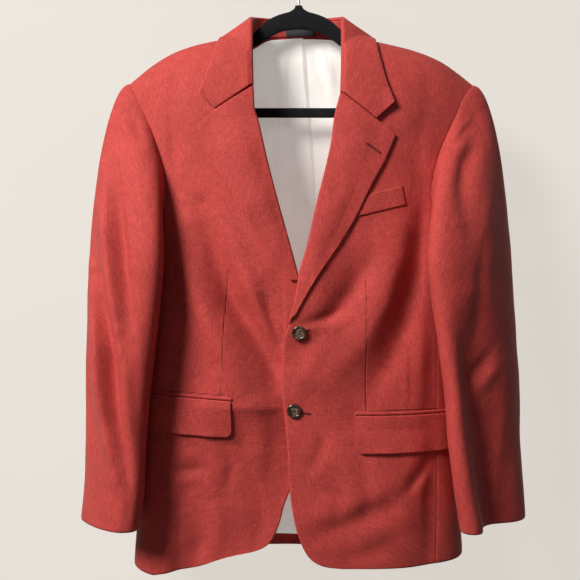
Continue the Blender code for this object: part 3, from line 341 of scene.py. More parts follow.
# Collar, section by section: roll x, y, z; free edge x, y, z; neck seam x, z.
COLLAR = [
    (-62.7, -59, -204.8, -139, -62, -214, -67.5, -204),
    (-63.5, -51, -178, -132, -54, -196, -68.5, -182),
    (-64.5, -41, -150, -124, -42, -171, -70.5, -158),
    (-65, -28, -120, -117, -24, -143, -75, -127),
    (-66, -12, -99, -111, 2, -120.5, -74.6, -115.5),
    (-61, 7, -91, -104, 22, -128, -61.5, -119),
    (-45, 22, -86.5, -80, 36, -132, -42.3, -116),
    (-24, 30, -84.8, -42, 43, -133, -22.5, -113.6),
    (-2, 32.5, -84.5, -2, 46, -133, -1, -113),
    (20, 30, -84.8, 38, 43, -133, 20, -113.6),
    (40, 22, -86.5, 76, 36, -132, 39, -116),
    (55, 7, -91, 101, 22, -129, 57.5, -119),
    (60, -12, -99, 108, 2, -121.5, 74.6, -115.5),
    (59.5, -28, -122, 111, -24, -152, 75, -129),
    (58.5, -41, -154, 118, -44, -185, 69.5, -162),
    (57.5, -51, -185, 125, -57, -208, 64.5, -190),
    (56, -59, -215, 131, -63, -228, 61, -214),
]
COLLAR_END = len(COLLAR) - 1
BACK_NECK = (3.5, 12.5)     # sections between which the collar is sewn to the back
NECK_EASE = 3.0             # how far inside the body's neck edge the stand's outer face is
STAND_ENDS = (4.0, COLLAR_END - 4.0)
ROLLED_SHARE = 0.3          # part of the lapel's and the collar's s that goes round the roll
ROLL_RETURN = 5.0

# Pockets. Flaps: inner end, heights of the top's inner and outer end, depth, width along the cloth.
FLAP = {
    LEFT: dict(inner=77, top_in=-656.5, top_out=-657.5, deep=51, wide=146),
    RIGHT: dict(inner=93, top_in=-637.5, top_out=-629, deep=51, wide=146),
}
FLAP_CORNER = 9.0
FLAP_LIFT = 2.7
FLAP_FLARE = 2.0            # how much further its lower edge stands off
JET_HIGH = 5.0
JET_LIFT = 2.3
JET_PAST = 2                # how far it reaches past the flap at each end
JET_SEAM_GAP = 0.9
JET_SEAM_END = 0.85         # part of the flap's width at which the seam over the jetting stops
WELT = dict(inner_top=(66, -364.5), outer_top=(140.7, -344), outer_low=(145.7, -370.5), inner_low=(64, -391))
WELT_LIFT = 1.8

FRONT_BUTTONS = {"upper": (-0.3, -544), "lower": (-7, -649)}
CUFF_BUTTONS = ("first", "second", "third", "fourth")
CUFF_BUTTON_LOW_T = 0.955   # place of the lowest one down the sleeve
CUFF_BUTTON_STEP_T = 0.0245
CUFF_BUTTON_PLACE = 178.0   # degrees round the sleeve, beside the hind seam

# Lining: lean of the centre pleat with height.
PLEAT_X = down_table([(-113, 4.7), (-184, 10), (-237, 15), (-340, 22), (-465, 26), (-650, 12), (-870, 2)])
PLEAT_HIGH = 5.0
LINING_GAP = 2.2
PLEAT_WIDE = 45.0
LABEL_ENDS = (-21.6, 29.6)

# Hanger: outline of the neck arch, as distance from the middle and height.
NUB_TOP_Z = -75.0
ARCH_TOP = [(0, NUB_TOP_Z), (4.5, NUB_TOP_Z), (6, -79), (13, -84), (27, -88), (45, -96.5), (60, -110),
            (68, -118.5), (79, -127)]
ARCH_UNDER = [(0, -110), (12, -110.8), (25, -113), (39, -119.5), (52, -128), (60, -134), (72, -139.5),
              (90, -143.5)]
ARM_DROP = CLOTH + 2.3      # arm's top below the shoulder's outer face
ARM_HIGH = 15.0
ARM_END_X = 216.0
BAR_TOP_Z = -223.6
BAR_HIGH = 14.0


# ---------------------------------------------------------------- creases, drawn

# Height out from the coat (a hollow is negative), half widths on the +X and on the -X side of a line that
# runs down, and the line as (x, z).
FRONT_FOLDS = {
    LEFT: [
        (12, 21, 30, [(148, -376), (134, -448), (115, -504), (86, -554), (34, -606)]),
        (-10, 19, 20, [(176, -350), (169, -410), (157, -470), (141, -530), (120, -590), (76, -652)]),
        (-7, 13, 15, [(96, -440), (74, -486), (44, -520), (8, -560)]),
        (4, 20, 18, [(176, -520), (168, -600), (160, -660)]),
        (2.6, 10, 7, [(66, -522), (49, -530), (24, -538), (-8, -545)]),
        (-2.6, 8, 6, [(62, -511), (46, -519), (24, -527), (-6, -536)]),
        (-4.5, 7, 11, [(205, -696), (180, -724), (158, -748), (142, -766)]),
        (3.0, 11, 11, [(196, -730), (180, -748), (166, -764)]),
        (-3.0, 8, 8, [(168, -768), (184, -780), (202, -790)]),
        (-4.0, 16, 14, [(-2, -829), (60, -806), (112, -784), (150, -766)]),
        (3.0, 18, 16, [(10, -800), (70, -778), (120, -752)]),
        (-2.4, 12, 14, [(40, -856), (90, -846), (140, -822)]),
        (11, 40, 85, [(146, -670), (142, -760), (136, -880)]),
        (-2.6, 9, 9, [(30, -748), (52, -770), (50, -800)]),
        (2.4, 12, 16, [(34, -560), (8, -600), (-8, -628)]),
        (-2.8, 10, 9, [(18, -664), (34, -684), (26, -712), (10, -736)]),
        (2.0, 12, 10, [(30, -668), (52, -704), (70, -745), (72, -800)]),
        (-2.0, 12, 10, [(64, -680), (86, -710), (92, -752), (96, -800)]),
        (3.0, 26, 22, [(120, -160), (150, -210), (160, -280)]),
        (-2.4, 16, 22, [(176, -240), (166, -300), (160, -356)]),
    ],
    RIGHT: [
        (-20, 15, 17, [(-134, -372), (-108, -457), (-90, -501), (-70, -532), (-36, -590), (-22, -640)]),
        (-27, 60, 108, [(-20, -640), (-20, -700), (-26, -790), (-40, -890)]),
        (13, 19, 18, [(-172, -400), (-146, -480), (-126, -530), (-96, -580), (-66, -640)]),
        (4, 13, 13, [(-104, -380), (-78, -450), (-56, -500), (-36, -540)]),
        (-8, 9, 9, [(-52, -484), (-36, -530), (-18, -580)]),
        (-2.2, 10, 12, [(-84, -640), (-76, -690), (-84, -740)]),
        (2.2, 12, 10, [(-60, -640), (-50, -700), (-58, -770)]),
        (-3.0, 5, 8, [(-206, -733), (-170, -735), (-130, -732)]),
        (2.4, 10, 10, [(-206, -748), (-168, -750), (-128, -748)]),
        (-12, 80, 80, [(-210, -905), (-120, -900), (-20, -880)]),
        (-3.0, 9, 9, [(-104, -690), (-92, -730), (-104, -770)]),
        (2.6, 9, 9, [(-176, -690), (-160, -712), (-134, -722)]),
        (-2.6, 10, 12, [(-150, -790), (-138, -832), (-148, -872)]),
        (2.6, 12, 12, [(-120, -770), (-110, -812), (-118, -865)]),
        (-2.2, 12, 12, [(-60, -760), (-50, -800), (-60, -850)]),
        (3.5, 26, 26, [(-120, -170), (-148, -230), (-150, -320)]),
        (-7.0, 12, 13, [(-197, -190), (-188, -240), (-178, -300), (-168, -350)]),
    ],
}
BACK_FOLDS = {
    LEFT: [
        (5.5, 22, 30, [(150, -250), (140, -400), (118, -560), (104, -720)]),
        (-2.2, 20, 24, [(84, -290), (78, -470), (66, -640), (62, -800)]),
        (4.5, 15, 18, [(178, -420), (170, -560), (158, -700), (166, -840)]),
        (-1.6, 12, 9, [(32, -560), (26, -700), (36, -850)]),
        (3.5, 11, 11, [(120, -640), (104, -740), (110, -860)]),
        (-3.0, 9, 12, [(150, -160), (128, -210), (92, -250)]),
    ],
    RIGHT: [
        (6.0, 30, 22, [(-146, -260), (-138, -410), (-120, -560), (-96, -710)]),
        (-2.0, 22, 20, [(-72, -310), (-74, -480), (-58, -650), (-52, -820)]),
        (4.5, 18, 14, [(-180, -430), (-166, -590), (-148, -740), (-156, -850)]),
        (3.2, 9, 12, [(-22, -600), (-30, -730), (-20, -860)]),
        (-4.0, 12, 10, [(-128, -600), (-112, -720), (-122, -860)]),
        (-3.0, 12, 9, [(-156, -170), (-130, -214), (-96, -244)]),
    ],
}
SLEEVE_FOLDS = {
    LEFT: [
        (-10, 13, 14, [(249, -240), (242, -292), (230, -315), (222, -345), (219, -372), (222, -402)]),
        (6, 16, 14, [(262, -330), (254, -400), (246, -450), (240, -500)]),
        (-3.0, 7, 7, [(240, -218), (234, -238), (224, -256)]),
        (-3.0, 7, 6, [(246, -248), (230, -268), (212, -288)]),
        (-5, 12, 10, [(262, -385), (246, -430), (240, -470), (236, -520), (230, -560)]),
        (-4.0, 8, 9, [(262, -560), (246, -584), (228, -600), (216, -606)]),
        (3.5, 10, 8, [(268, -586), (250, -606), (232, -626)]),
        (-4.5, 10, 9, [(216, -570), (226, -620), (238, -660), (250, -690)]),
        (3.0, 10, 10, [(280, -640), (270, -700), (268, -770)]),
    ],
    RIGHT: [
        (17, 8, 15, [(-272, -310), (-259, -391), (-251, -434), (-241, -501), (-233, -566)]),
        (-11, 9, 8, [(-254, -318), (-242, -391), (-235, -434), (-225, -501), (-218, -560)]),
        (20, 8, 15, [(-284, -455), (-275, -515), (-266, -563), (-261, -612), (-254, -666), (-240, -736)]),
        (-12, 9, 7, [(-267, -465), (-259, -515), (-251, -563), (-246, -612), (-240, -666), (-226, -730)]),
        (10, 8, 9, [(-239, -543), (-225, -597), (-221, -655), (-212, -718)]),
        (-3.6, 8, 7, [(-249, -229), (-230, -248), (-222, -274), (-207, -287)]),
        (-3.0, 7, 8, [(-262, -262), (-249, -272), (-235, -287), (-206, -296)]),
        (3.0, 8, 8, [(-258, -240), (-240, -258), (-232, -280)]),
        (-3.4, 7, 8, [(-222, -360), (-212, -382), (-196, -402)]),
        (4.0, 7, 10, [(-252, -650), (-240, -720), (-232, -768), (-239, -812)]),
        (-4.0, 8, 6, [(-240, -650), (-228, -710), (-222, -764), (-228, -806)]),
        (-3.0, 10, 10, [(-284, -600), (-276, -680), (-268, -760)]),
    ],
}
SLEEVE_BACK_FOLDS = {
    LEFT: [
        (7, 18, 18, [(262, -330), (268, -450), (272, -560)]),
        (-7, 14, 16, [(240, -420), (250, -540), (262, -660)]),
        (5, 12, 14, [(246, -590), (262, -640), (284, -680)]),
    ],
    RIGHT: [
        (7, 18, 18, [(-256, -330), (-262, -450), (-258, -560)]),
        (-7, 16, 14, [(-238, -420), (-240, -540), (-252, -660)]),
        (5, 14, 12, [(-240, -570), (-258, -630), (-280, -664)]),
    ],
}
LAPEL_FOLDS = {
    LEFT: [
        (-1.2, 7, 9, [(52, -330), (50, -352), (44, -372)]),
        (0.8, 12, 12, [(96, -300), (80, -340), (60, -380)]),
    ],
    RIGHT: [
        (4.6, 30, 16, [(-112, -250), (-96, -300), (-78, -356), (-56, -412)]),
    ],
}
LINING_FOLDS = [
    (4.5, 6, 10, [(-20, -130), (-25, -180), (-30, -240), (-28, -330), (-24, -430)]),
    (-1.8, 8, 7, [(-36, -140), (-38, -200), (-40, -300), (-34, -420)]),
    (-1.2, 5, 5, [(-52, -128), (-40, -150), (-32, -178)]),
    (3.0, 7, 7, [(30, -130), (40, -160), (52, -190)]),
    (-1.4, 6, 6, [(24, -135), (36, -172), (50, -206)]),
    (1.2, 10, 10, [(-8, -840), (0, -820), (10, -800)]),
    (-1.4, 7, 7, [(-20, -835), (-6, -812), (6, -786)]),
]

# Sewn lines: the front darts, and the ends of the pocket bags pressed through. The cloth is painted darker
# along them: painted shade in their grooves.
DARTS = {
    LEFT: [(90, -473), (90, -560), (90, -650)],
    RIGHT: [(-98, -460), (-103, -564), (-106, -629)],
}
FLAP_WAVES = {
    LEFT: [(0.3, 0.08, 0.8), (0.72, 0.1, 0.7)],
    RIGHT: [(0.2, 0.06, 1.2), (0.45, 0.05, 1.6), (0.68, 0.07, 1.1)],
}
# Which way the thread runs in a lapel: the share of its width and of its length.
LAPEL_GRAIN = {LEFT: (0.96, 0.28), RIGHT: (0.96, -0.28)}

# ---------------------------------------------------------------- colours and light

CLOTH_RED = (0.455, 0.046, 0.038)
DARK_THREAD = (0.31, 0.029, 0.024)
PALE_THREAD = (0.60, 0.082, 0.070)
WALL_COLOUR = (0.13, 0.1225, 0.1125)
WALL_GLOW = 5.15
WALL_Y = 0.11
FLOOR_GLOW = 0.1
FLOOR_Z = -1.7
BACKDROP_REACH = 4.0        # in metres, like the other places below
WALL_HIGH = 3.0
# Emission strength of the lining: painted light, so that it reads brighter than the lamps make it
LINING_PAINTED_LIGHT = 0.42
SKY_COLOUR = (0.9, 0.93, 1.0, 1.0)
WORLD_LIGHT = 0.07
LENS = 50.2
SENSOR = 36.0
CAMERA_PLACE = (-0.0127, -1.170, -0.4867)
# Each lamp: its name, place, target, size, power in watts and colour.
LAMPS = [
    ("key", (-2.0, -2.0, 1.45), (0.0, 0.0, -0.45), 1.3, 162.0, (1.0, 0.985, 0.96)),
    ("rear", (0.9, 2.2, 0.5), (0.0, 0.0, -0.45), 1.6, 45.0, (1.0, 0.98, 0.95)),
    ("front", (0.1, -3.0, 0.5), (0.0, 0.0, -0.35), 1.2, 5.0, (1.0, 0.99, 0.97)),
]


# ---------------------------------------------------------------- shape of the hanging coat

def ridge_z(x, side):
    """Height of the shoulder line; inside the neck it runs level to the middle."""
    return RIDGE[side].value(np.abs(x))


def neck_back_z(x):
    return mix(NECK_BACK_Z, NECK_Z, np.minimum(np.abs(x) / NECK_X, 1.0) ** 2)


def top_back_z(x, side):
    return np.where(np.abs(x) < NECK_X, neck_back_z(x), ridge_z(x, side))


def rounding(drop):
    """Quarter-round profile of the shoulder, 0 at the ridge and 1 below it."""
    u = np.clip(drop / SHOULDER_DROP, 0.0, 1.0)
    return np.sqrt(1 - (1 - u) ** 2)


def across(x, seam_x):
    """0 in the flat middle, growing to 1 at the side seam."""
    return (np.maximum(np.abs(x) - FLAT_HALF_WIDTH, 0.0) / (seam_x - FLAT_HALF_WIDTH)) ** 2


def overlap(x, z):
    return OVERLAP.value(z) * (1 - smooth_step(x, 18, 80))


def front_y(x, z, side):
    x, z = np.broadcast_arrays(np.asarray(x, float), np.asarray(z, float))
    drop = ridge_z(x, side) - z
    deep = mix(CHEST.value(z), FRONT_SIDE_DEPTH, across(x, FRONT_SEAM_X))
    shoulder = SHOULDER_FRONT - 9.0 * smooth_step(np.abs(x), 180, 250)
    y = shoulder * rounding(drop) + (deep - shoulder) * (1 - np.exp(-np.maximum(drop, 0.0) / FRONT_FALL))
    if side == LEFT:
        y = y + overlap(x, z)
    calm = 1 - smooth_step(np.abs(x), 164, 188)
    y = y + creased(FRONT_FOLDS[side], x, z) * calm
    return -y - ripples(x, z, 5 + side, 0.32) * calm * smooth_step(drop, 0, 40)


def back_y(x, z, side):
    x, z = np.broadcast_arrays(np.asarray(x, float), np.asarray(z, float))
    drop = np.maximum(top_back_z(x, side) - z, 0.0)
    deep = mix(BLADES.value(z), BACK_SIDE_DEPTH, across(x, BACK_SEAM_X))
    in_neck = np.abs(x) < NECK_X
    edge = np.where(in_neck, NECK_BACK_Y * np.sqrt(np.clip(1 - (x / NECK_X) ** 2, 0, 1)), 0.0)
    shoulder = np.maximum(SHOULDER_BACK, edge)
    return edge + (shoulder - edge) * rounding(drop) + (deep - shoulder) * (1 - np.exp(-drop / BACK_FALL))


def back_folds(x, z, side):
    """How far the back's own creases stand out; the lining hangs free of them."""
    calm = 1 - smooth_step(np.abs(x), 172, 200)
    drop = top_back_z(x, side) - z
    height = creased(BACK_FOLDS[side], x, z) + ripples(x, z, 11 + side, 0.4)
    return height * calm * smooth_step(drop, 0, 50)


def by_side(function, x, z):
    return np.where(x > 0, function(x, z, LEFT), function(x, z, RIGHT))


def front_place(side):
    """The front in (x, z): s from the front edge to the side, t from the shoulder to the hem."""
    neckline = [(side * NECK_X, NECK_Z), (side * (NECK_X - 2), -137), (side * (NECK_X - 5.5), -160)]
    roll = [(x + side * ROLL_RADIUS, z) for x, z in ROLL[side]]
    inner = path(neckline + roll + FRONT_EDGE[side])
    outer = path([(x - side * SEAM, z) for x, z in ARMHOLE_FRONT[side] + SIDE_SEAM_FRONT[side][1:]])
    xs = np.linspace(NECK_X, abs(TIP[side][0]), 9)
    top = path(list(zip(side * xs, ridge_z(xs, side))))
    return patch(inner, outer, top, path(FRONT_HEM[side]))


def front_points(side, s, t):
    place = front_place(side)(s, t)
    x, z = place[..., 0], place[..., 1]
    return joined(x, front_y(x, z, side) - SEAM, z)


def back_place(side):
    inner = path([(side * SEAM, NECK_BACK_Z), (side * SEAM, -500), (side * SEAM, BACK_HEM_Z)])
    outer = path([(x - side * SEAM, z) for x, z in ARMHOLE_BACK[side] + SIDE_SEAM_BACK[side][1:]])
    xs = np.array([SEAM, 12, 24, 36, 48, 58, 66, 72, 76, 100, 130, 160, 190, 220, abs(TIP[side][0])])
    top = path(list(zip(side * xs, top_back_z(xs, side))))
    side_x, side_z = SIDE_SEAM_BACK[side][-1]
    hem = path([(side * SEAM, BACK_HEM_Z), (side_x / 2, BACK_HEM_Z), (side_x, side_z)])
    return patch(inner, outer, top, hem)


def back_points(side, s, t):
    place = back_place(side)(s, t)
    x, z = place[..., 0], place[..., 1]
    return joined(x, back_y(x, z, side) + SEAM + back_folds(x, z, side), z)


FRONT_SEAM = {side: down_table([(z, x) for x, z in SIDE_SEAM_FRONT[side]]) for side in SIDES}
BACK_SEAM = {side: down_table([(z, x) for x, z in SIDE_SEAM_BACK[side]]) for side in SIDES}


def side_section(side, z):
    """Cross-section of the side panel at a height: its four Bezier points, front to back."""
    front_x, back_x = FRONT_SEAM[side].value(z), BACK_SEAM[side].value(z)
    front_depth, back_depth = front_y(front_x, z, side), back_y(back_x, z, side)
    mid_x = (8 * side * SIDE_REACH.value(z) - front_x - back_x) / 6
    front_slope = (front_y(front_x + side, z, side) - front_depth) * side
    back_slope = (back_y(back_x + side, z, side) - back_depth) * side
    front = joined(front_x, front_depth - SEAM)
    back = joined(back_x, back_depth + SEAM)
    front_arm = joined(mid_x, front_depth - SEAM + front_slope * (mid_x - front_x))
    back_arm = joined(mid_x, back_depth + SEAM + back_slope * (mid_x - back_x))
    return front, front_arm, back_arm, back


def bezier(points, t):
    a, b, c, d = points
    t = t[..., None]
    return a * (1 - t) ** 3 + b * 3 * t * (1 - t) ** 2 + c * 3 * t ** 2 * (1 - t) + d * t ** 3


def side_points(side, s, t):
    """The side panel: s from the front seam to the back seam, t from the armhole to the hem."""
    ease = 5 * SEAM / 85
    hem = mix(SIDE_HEM_Z[side][0], SIDE_HEM_Z[side][1], s)
    z = mix(UNDERARM_Z - UNDERARM_DIP * np.sin(np.pi * s), hem, t)
    flat = bezier(side_section(side, z), mix(ease, 1 - ease, s))
    wave = ripples(flat[..., 1] * 1.4, z, 31 + side, 0.5) * np.sin(np.pi * s) * smooth_step(t, 0, 0.08)
    return joined(flat[..., 0] + side * wave, flat[..., 1], z)


class Skin:
    """The body's outer face as a fine grid, by its distance out from the middle and its height."""

    STEP = 1.5

    def __init__(self, side, low_z, high_z, far):
        self.reach = np.arange(20.0, far + 1, self.STEP)
        self.heights = np.arange(low_z, high_z + 1, self.STEP)
        reach, z = np.meshgrid(self.reach, self.heights, indexing="ij")
        seam_x = np.abs(FRONT_SEAM[side].value(z))
        section = side_section(side, z)
        steps = np.linspace(0, 1, 17)
        spots = np.stack([bezier(section, np.full(z.shape, step)) for step in steps])
        girth = np.linalg.norm(np.diff(spots, axis=0), axis=-1).sum(axis=0)
        bent = bezier(section, np.clip((reach - seam_x) / girth, 0, 1))
        on_front = reach <= seam_x
        x = np.where(on_front, side * reach, bent[..., 0])
        y = np.where(on_front, front_y(side * reach, z, side) - SEAM, bent[..., 1])
        self.points = joined(x, y, z)
        self.normals = grid_normals(self.points) * side

    def sample(self, grid, reach, z):
        i = np.clip((reach - self.reach[0]) / self.STEP, 0, len(self.reach) - 1.001)
        j = np.clip((z - self.heights[0]) / self.STEP, 0, len(self.heights) - 1.001)
        a, b = i.astype(int), j.astype(int)
        u, v = (i - a)[..., None], (j - b)[..., None]
        return (grid[a, b] * (1 - u) * (1 - v) + grid[a + 1, b] * u * (1 - v)
                + grid[a, b + 1] * (1 - u) * v + grid[a + 1, b + 1] * u * v)

    def place(self, reach, z, lift):
        normal = unit(self.sample(self.normals, reach, z))
        return self.sample(self.points, reach, z) + normal * np.asarray(lift)[..., None]


# ---------------------------------------------------------------- lapels and collar

def rolled(roll, leave, facing, turn):
    """A point on the rolled edge: turn 0 is its outer face, 90 the roll line, 180 its inner face."""
    angle = np.radians(turn)[..., None]
    middle = roll + leave * ROLL_RADIUS
    return middle + facing * ROLL_RADIUS * np.cos(angle) - leave * ROLL_RADIUS * np.sin(angle)


def lapel_points(side, s, t):
    """The lapel: s from its inner return round the roll to the free edge, t from the gorge down."""
    roll, edge = path(ROLL[side]), path(LAPEL_EDGE[side])
    gorge = path([ROLL[side][0], NOTCH[side], LAPEL_EDGE[side][0]], bent=True)

    def flat(share):
        low = mix(roll.at(t), edge.at(t), share[..., None])
        straight = mix(np.array(ROLL[side][0], float), np.array(LAPEL_EDGE[side][0], float), share[..., None])
        return low + (gorge.at(share) - straight) * np.maximum(1 - t * 9, 0.0)[..., None]

    start, end = flat(np.zeros(s.shape)), flat(np.ones(s.shape))
    width = np.linalg.norm(end - start, axis=-1)
    across_it = (end - start) / width[..., None]
    leave = joined(across_it[..., 0], 0, across_it[..., 1])
    panel = start + across_it * ROLL_RADIUS
    middle_y = front_y(panel[..., 0], panel[..., 1], side) - SEAM + CLOTH / 2
    roll_at = joined(start[..., 0], middle_y, start[..., 1])
    ahead = np.array([0.0, -1.0, 0.0])
    round_part = mix(-0.3, 1.0, s / ROLLED_SHARE)
    back = rolled(roll_at, leave, ahead, np.full(s.shape, 180.0))
    back = back - leave * (round_part * 3.3 * ROLL_RETURN)[..., None]
    turned = rolled(roll_at, leave, ahead, 180 * (1 - round_part))
    along = np.clip((s - ROLLED_SHARE) / (1 - ROLLED_SHARE), 0, 1)
    place = flat(mix(np.minimum(ROLL_RADIUS / width, 0.9), 1.0, along))
    x, z = place[..., 0], place[..., 1]
    rise = mix(ROLL_RADIUS - CLOTH / 2, LAPEL_LIFT, along)
    belly = LAPEL_BELLY * np.sin(np.pi * np.minimum(along * 1.4, 1.0)) * smooth_step(width, 15, 70)
    own = (creased(LAPEL_FOLDS[side], x, z) + ripples(x, z, 21 + side, 0.35)) * smooth_step(along, 0.0, 0.3)
    lying = joined(x, front_y(x, z, side) - SEAM - rise - belly - own, z)
    rolling = np.where((round_part < 0)[..., None], back, turned)
    return np.where((s < ROLLED_SHARE)[..., None], rolling, lying)


def collar_rows(first, last):
    return Curve(np.arange(len(COLLAR)), [row[first:last] for row in COLLAR])


COLLAR_ROLL = collar_rows(0, 3)
COLLAR_EDGE = collar_rows(3, 6)
NECK_SEAM = collar_rows(6, 8)


def clear_of_body(place, lift):
    """Points moved out of the body, so that a piece's outer face lies lift above the cloth."""
    x, y, z = place[..., 0], place[..., 1], place[..., 2]
    drop = by_side(lambda a, b, side: ridge_z(a, side) - b, x, z) + lift
    limit = by_side(front_y, x, z - lift) - lift * rounding(drop)
    y_front = np.where((y < 0) & (drop > 0), np.minimum(y, limit), y)
    drop = by_side(lambda a, b, side: top_back_z(a, side) - b, x, z) + lift
    limit = by_side(back_y, x, z - lift) + lift * rounding(drop)
    y_back = np.where((y >= 0) & (drop > 0), np.maximum(y, limit), y_front)
    return joined(x, y_back, z)


def collar_roll(u):
    """The roll line; at its two ends it goes round the front's edge as the lapel's does."""
    roll = COLLAR_ROLL.at(u)
    x, z = roll[..., 0], roll[..., 2]
    nearest_end = np.maximum(np.minimum(u, COLLAR_END - u), 0.0)
    on_front = by_side(front_y, x + np.sign(x) * ROLL_RADIUS, z) - SEAM + CLOTH / 2
    return joined(x, mix(on_front, roll[..., 1], smooth_step(nearest_end, 0.3, 2.5)), z)


def collar_frame(u):
    """The roll's place there, the way the fall leaves it, and the way its outer face points."""
    roll = collar_roll(u)
    ahead = collar_roll(u + 0.1) - collar_roll(u - 0.1)
    facing = unit(np.cross(ahead, unit(COLLAR_EDGE.at(u) - roll)))
    return roll, unit(np.cross(facing, ahead)), facing


def neck_seam(u):
    """Inner face of the body's neck edge."""
    seam = NECK_SEAM.at(u)
    x, z = seam[..., 0], seam[..., 1]
    nearest_end = np.minimum(u - BACK_NECK[0], BACK_NECK[1] - u)
    back_z = neck_back_z(x)
    depth = by_side(back_y, x, back_z) * np.clip(nearest_end / 0.5, 0, 1)
    back = joined(x * (1 - NECK_EASE / NECK_X), np.maximum(depth - CLOTH, 0.0), back_z)
    front = joined(x - np.sign(x) * NECK_EASE, np.minimum(by_side(front_y, x, z) + CLOTH, 0.0), z)
    return np.where((nearest_end > 0)[..., None], back, front)


def stand_fall(u):
    """The turn at which the roll meets the stand."""
    roll, leave, facing = collar_frame(u)
    down = unit(neck_seam(u) - rolled(roll, leave, facing, np.full(u.shape, 180.0)))
    bend = np.degrees(np.arccos(np.clip((leave * down).sum(axis=-1), -1, 1)))
    nearest_end = np.minimum(u, COLLAR_END - u)
    return 180 - np.minimum(bend, 75) * smooth_step(nearest_end, 2.4, STAND_ENDS[0])


def end_shift(u, along):
    """How far the collar's end bends from straight, so that it meets the gorge up to the notch."""
    shifts = []
    for side, last in ((RIGHT, 0), (LEFT, -1)):
        first, tip = np.array(COLLAR[last][0:3], float), np.array(COLLAR[last][3:6], float)
        notch_x, notch_z = NOTCH[side]
        bend = path([(first[0], first[2]), (notch_x, notch_z + 1.0), (tip[0], tip[2])], bent=True)
        end = bend.at(along)
        shifts.append(joined(end[..., 0] - mix(first[0], tip[0], along), 0,
                             end[..., 1] - mix(first[2], tip[2], along)))
    return np.where((u < COLLAR_END / 2)[..., None], shifts[0], shifts[1])


def collar_fall_points(s, t):
    """The collar's fall: s round the roll to the free edge, t from end to end round the neck."""
    u = t * COLLAR_END
    roll, leave, facing = collar_frame(u)
    turned = rolled(roll, leave, facing, stand_fall(u) * (1 - np.minimum(s / ROLLED_SHARE, 1.0)))
    along = np.clip((s - ROLLED_SHARE) / (1 - ROLLED_SHARE), 0, 1)
    place = mix(rolled(roll, leave, facing, np.zeros(u.shape)), COLLAR_EDGE.at(u), along[..., None])
    nearest_end = np.minimum(u, COLLAR_END - u)
    place = place + end_shift(u, along) * np.maximum(1 - nearest_end, 0)[..., None]
    place = clear_of_body(place, COLLAR_LIFT)
    swell = 1.2 * np.sin(np.pi * along) + ripples(u * 24, along * 50, 41, 0.3) * smooth_step(along, 0, 0.3)
    place = joined(place[..., 0], place[..., 1] + np.sign(place[..., 1]) * swell, place[..., 2])
    return np.where((s <= ROLLED_SHARE)[..., None], turned, place)


def collar_stand_points(s, t):
    """The collar's stand: s from the neck seam up to the roll, t round the neck."""
    u = mix(STAND_ENDS[0], STAND_ENDS[1], t)
    roll, leave, facing = collar_frame(u)
    top, seam = rolled(roll, leave, facing, stand_fall(u)), neck_seam(u)
    rise = unit(top - seam) * 2.5 * SEAM
    return mix(seam + rise, top - rise, s[..., None])


# ---------------------------------------------------------------- sleeves

FRONT_ARMHOLE = {side: path(ARMHOLE_FRONT[side]) for side in SIDES}
BACK_ARMHOLE = {side: path(ARMHOLE_BACK[side]) for side in SIDES}


def armhole_points(side, around):
    """Points on the armhole's edge: 0 at the tip, 1 and 2 at the side seams, 3 at the tip again."""
    front = FRONT_ARMHOLE[side].at(np.clip(around, 0, 1))
    front = joined(front[..., 0], front_y(front[..., 0], front[..., 1], side) - SEAM, front[..., 1])
    under = side_points(side, np.clip(around - 1, 0, 1), np.zeros(around.shape))
    back = BACK_ARMHOLE[side].at(np.clip(3 - around, 0, 1))
    back = joined(back[..., 0], back_y(back[..., 0], back[..., 1], side) + SEAM, back[..., 1])
    return np.where((around <= 1)[..., None], front, np.where((around <= 2)[..., None], under, back))


def sleeve_ring(side, place, z):
    """The sleeve's plain tube: place in degrees, 0 at the front fold, 90 on its face."""
    row = SLEEVE[side].at(z)
    outer, inner, mid_y, turn, thick = [row[..., k] for k in range(5)]
    turn = np.radians(turn)
    long_way = joined(-side * np.cos(turn), -np.sin(turn), 0)
    thick_way = joined(side * np.sin(turn), -np.cos(turn), 0)
    half = np.abs(outer - inner) / 2
    length = np.sqrt(half ** 2 - (thick * thick_way[..., 0]) ** 2) / np.abs(long_way[..., 0])
    angle = np.radians(place)
    across_fold = thick * np.sin(angle)
    if side == LEFT:
        fold = FOREARM_FOLD.at(z)
        across_fold = across_fold - fold[..., 2] * np.exp(-((place - fold[..., 0]) / fold[..., 1]) ** 2)
    middle = joined((outer + inner) / 2, mid_y, z)
    return middle + long_way * (length * np.cos(angle))[..., None] + thick_way * across_fold[..., None]


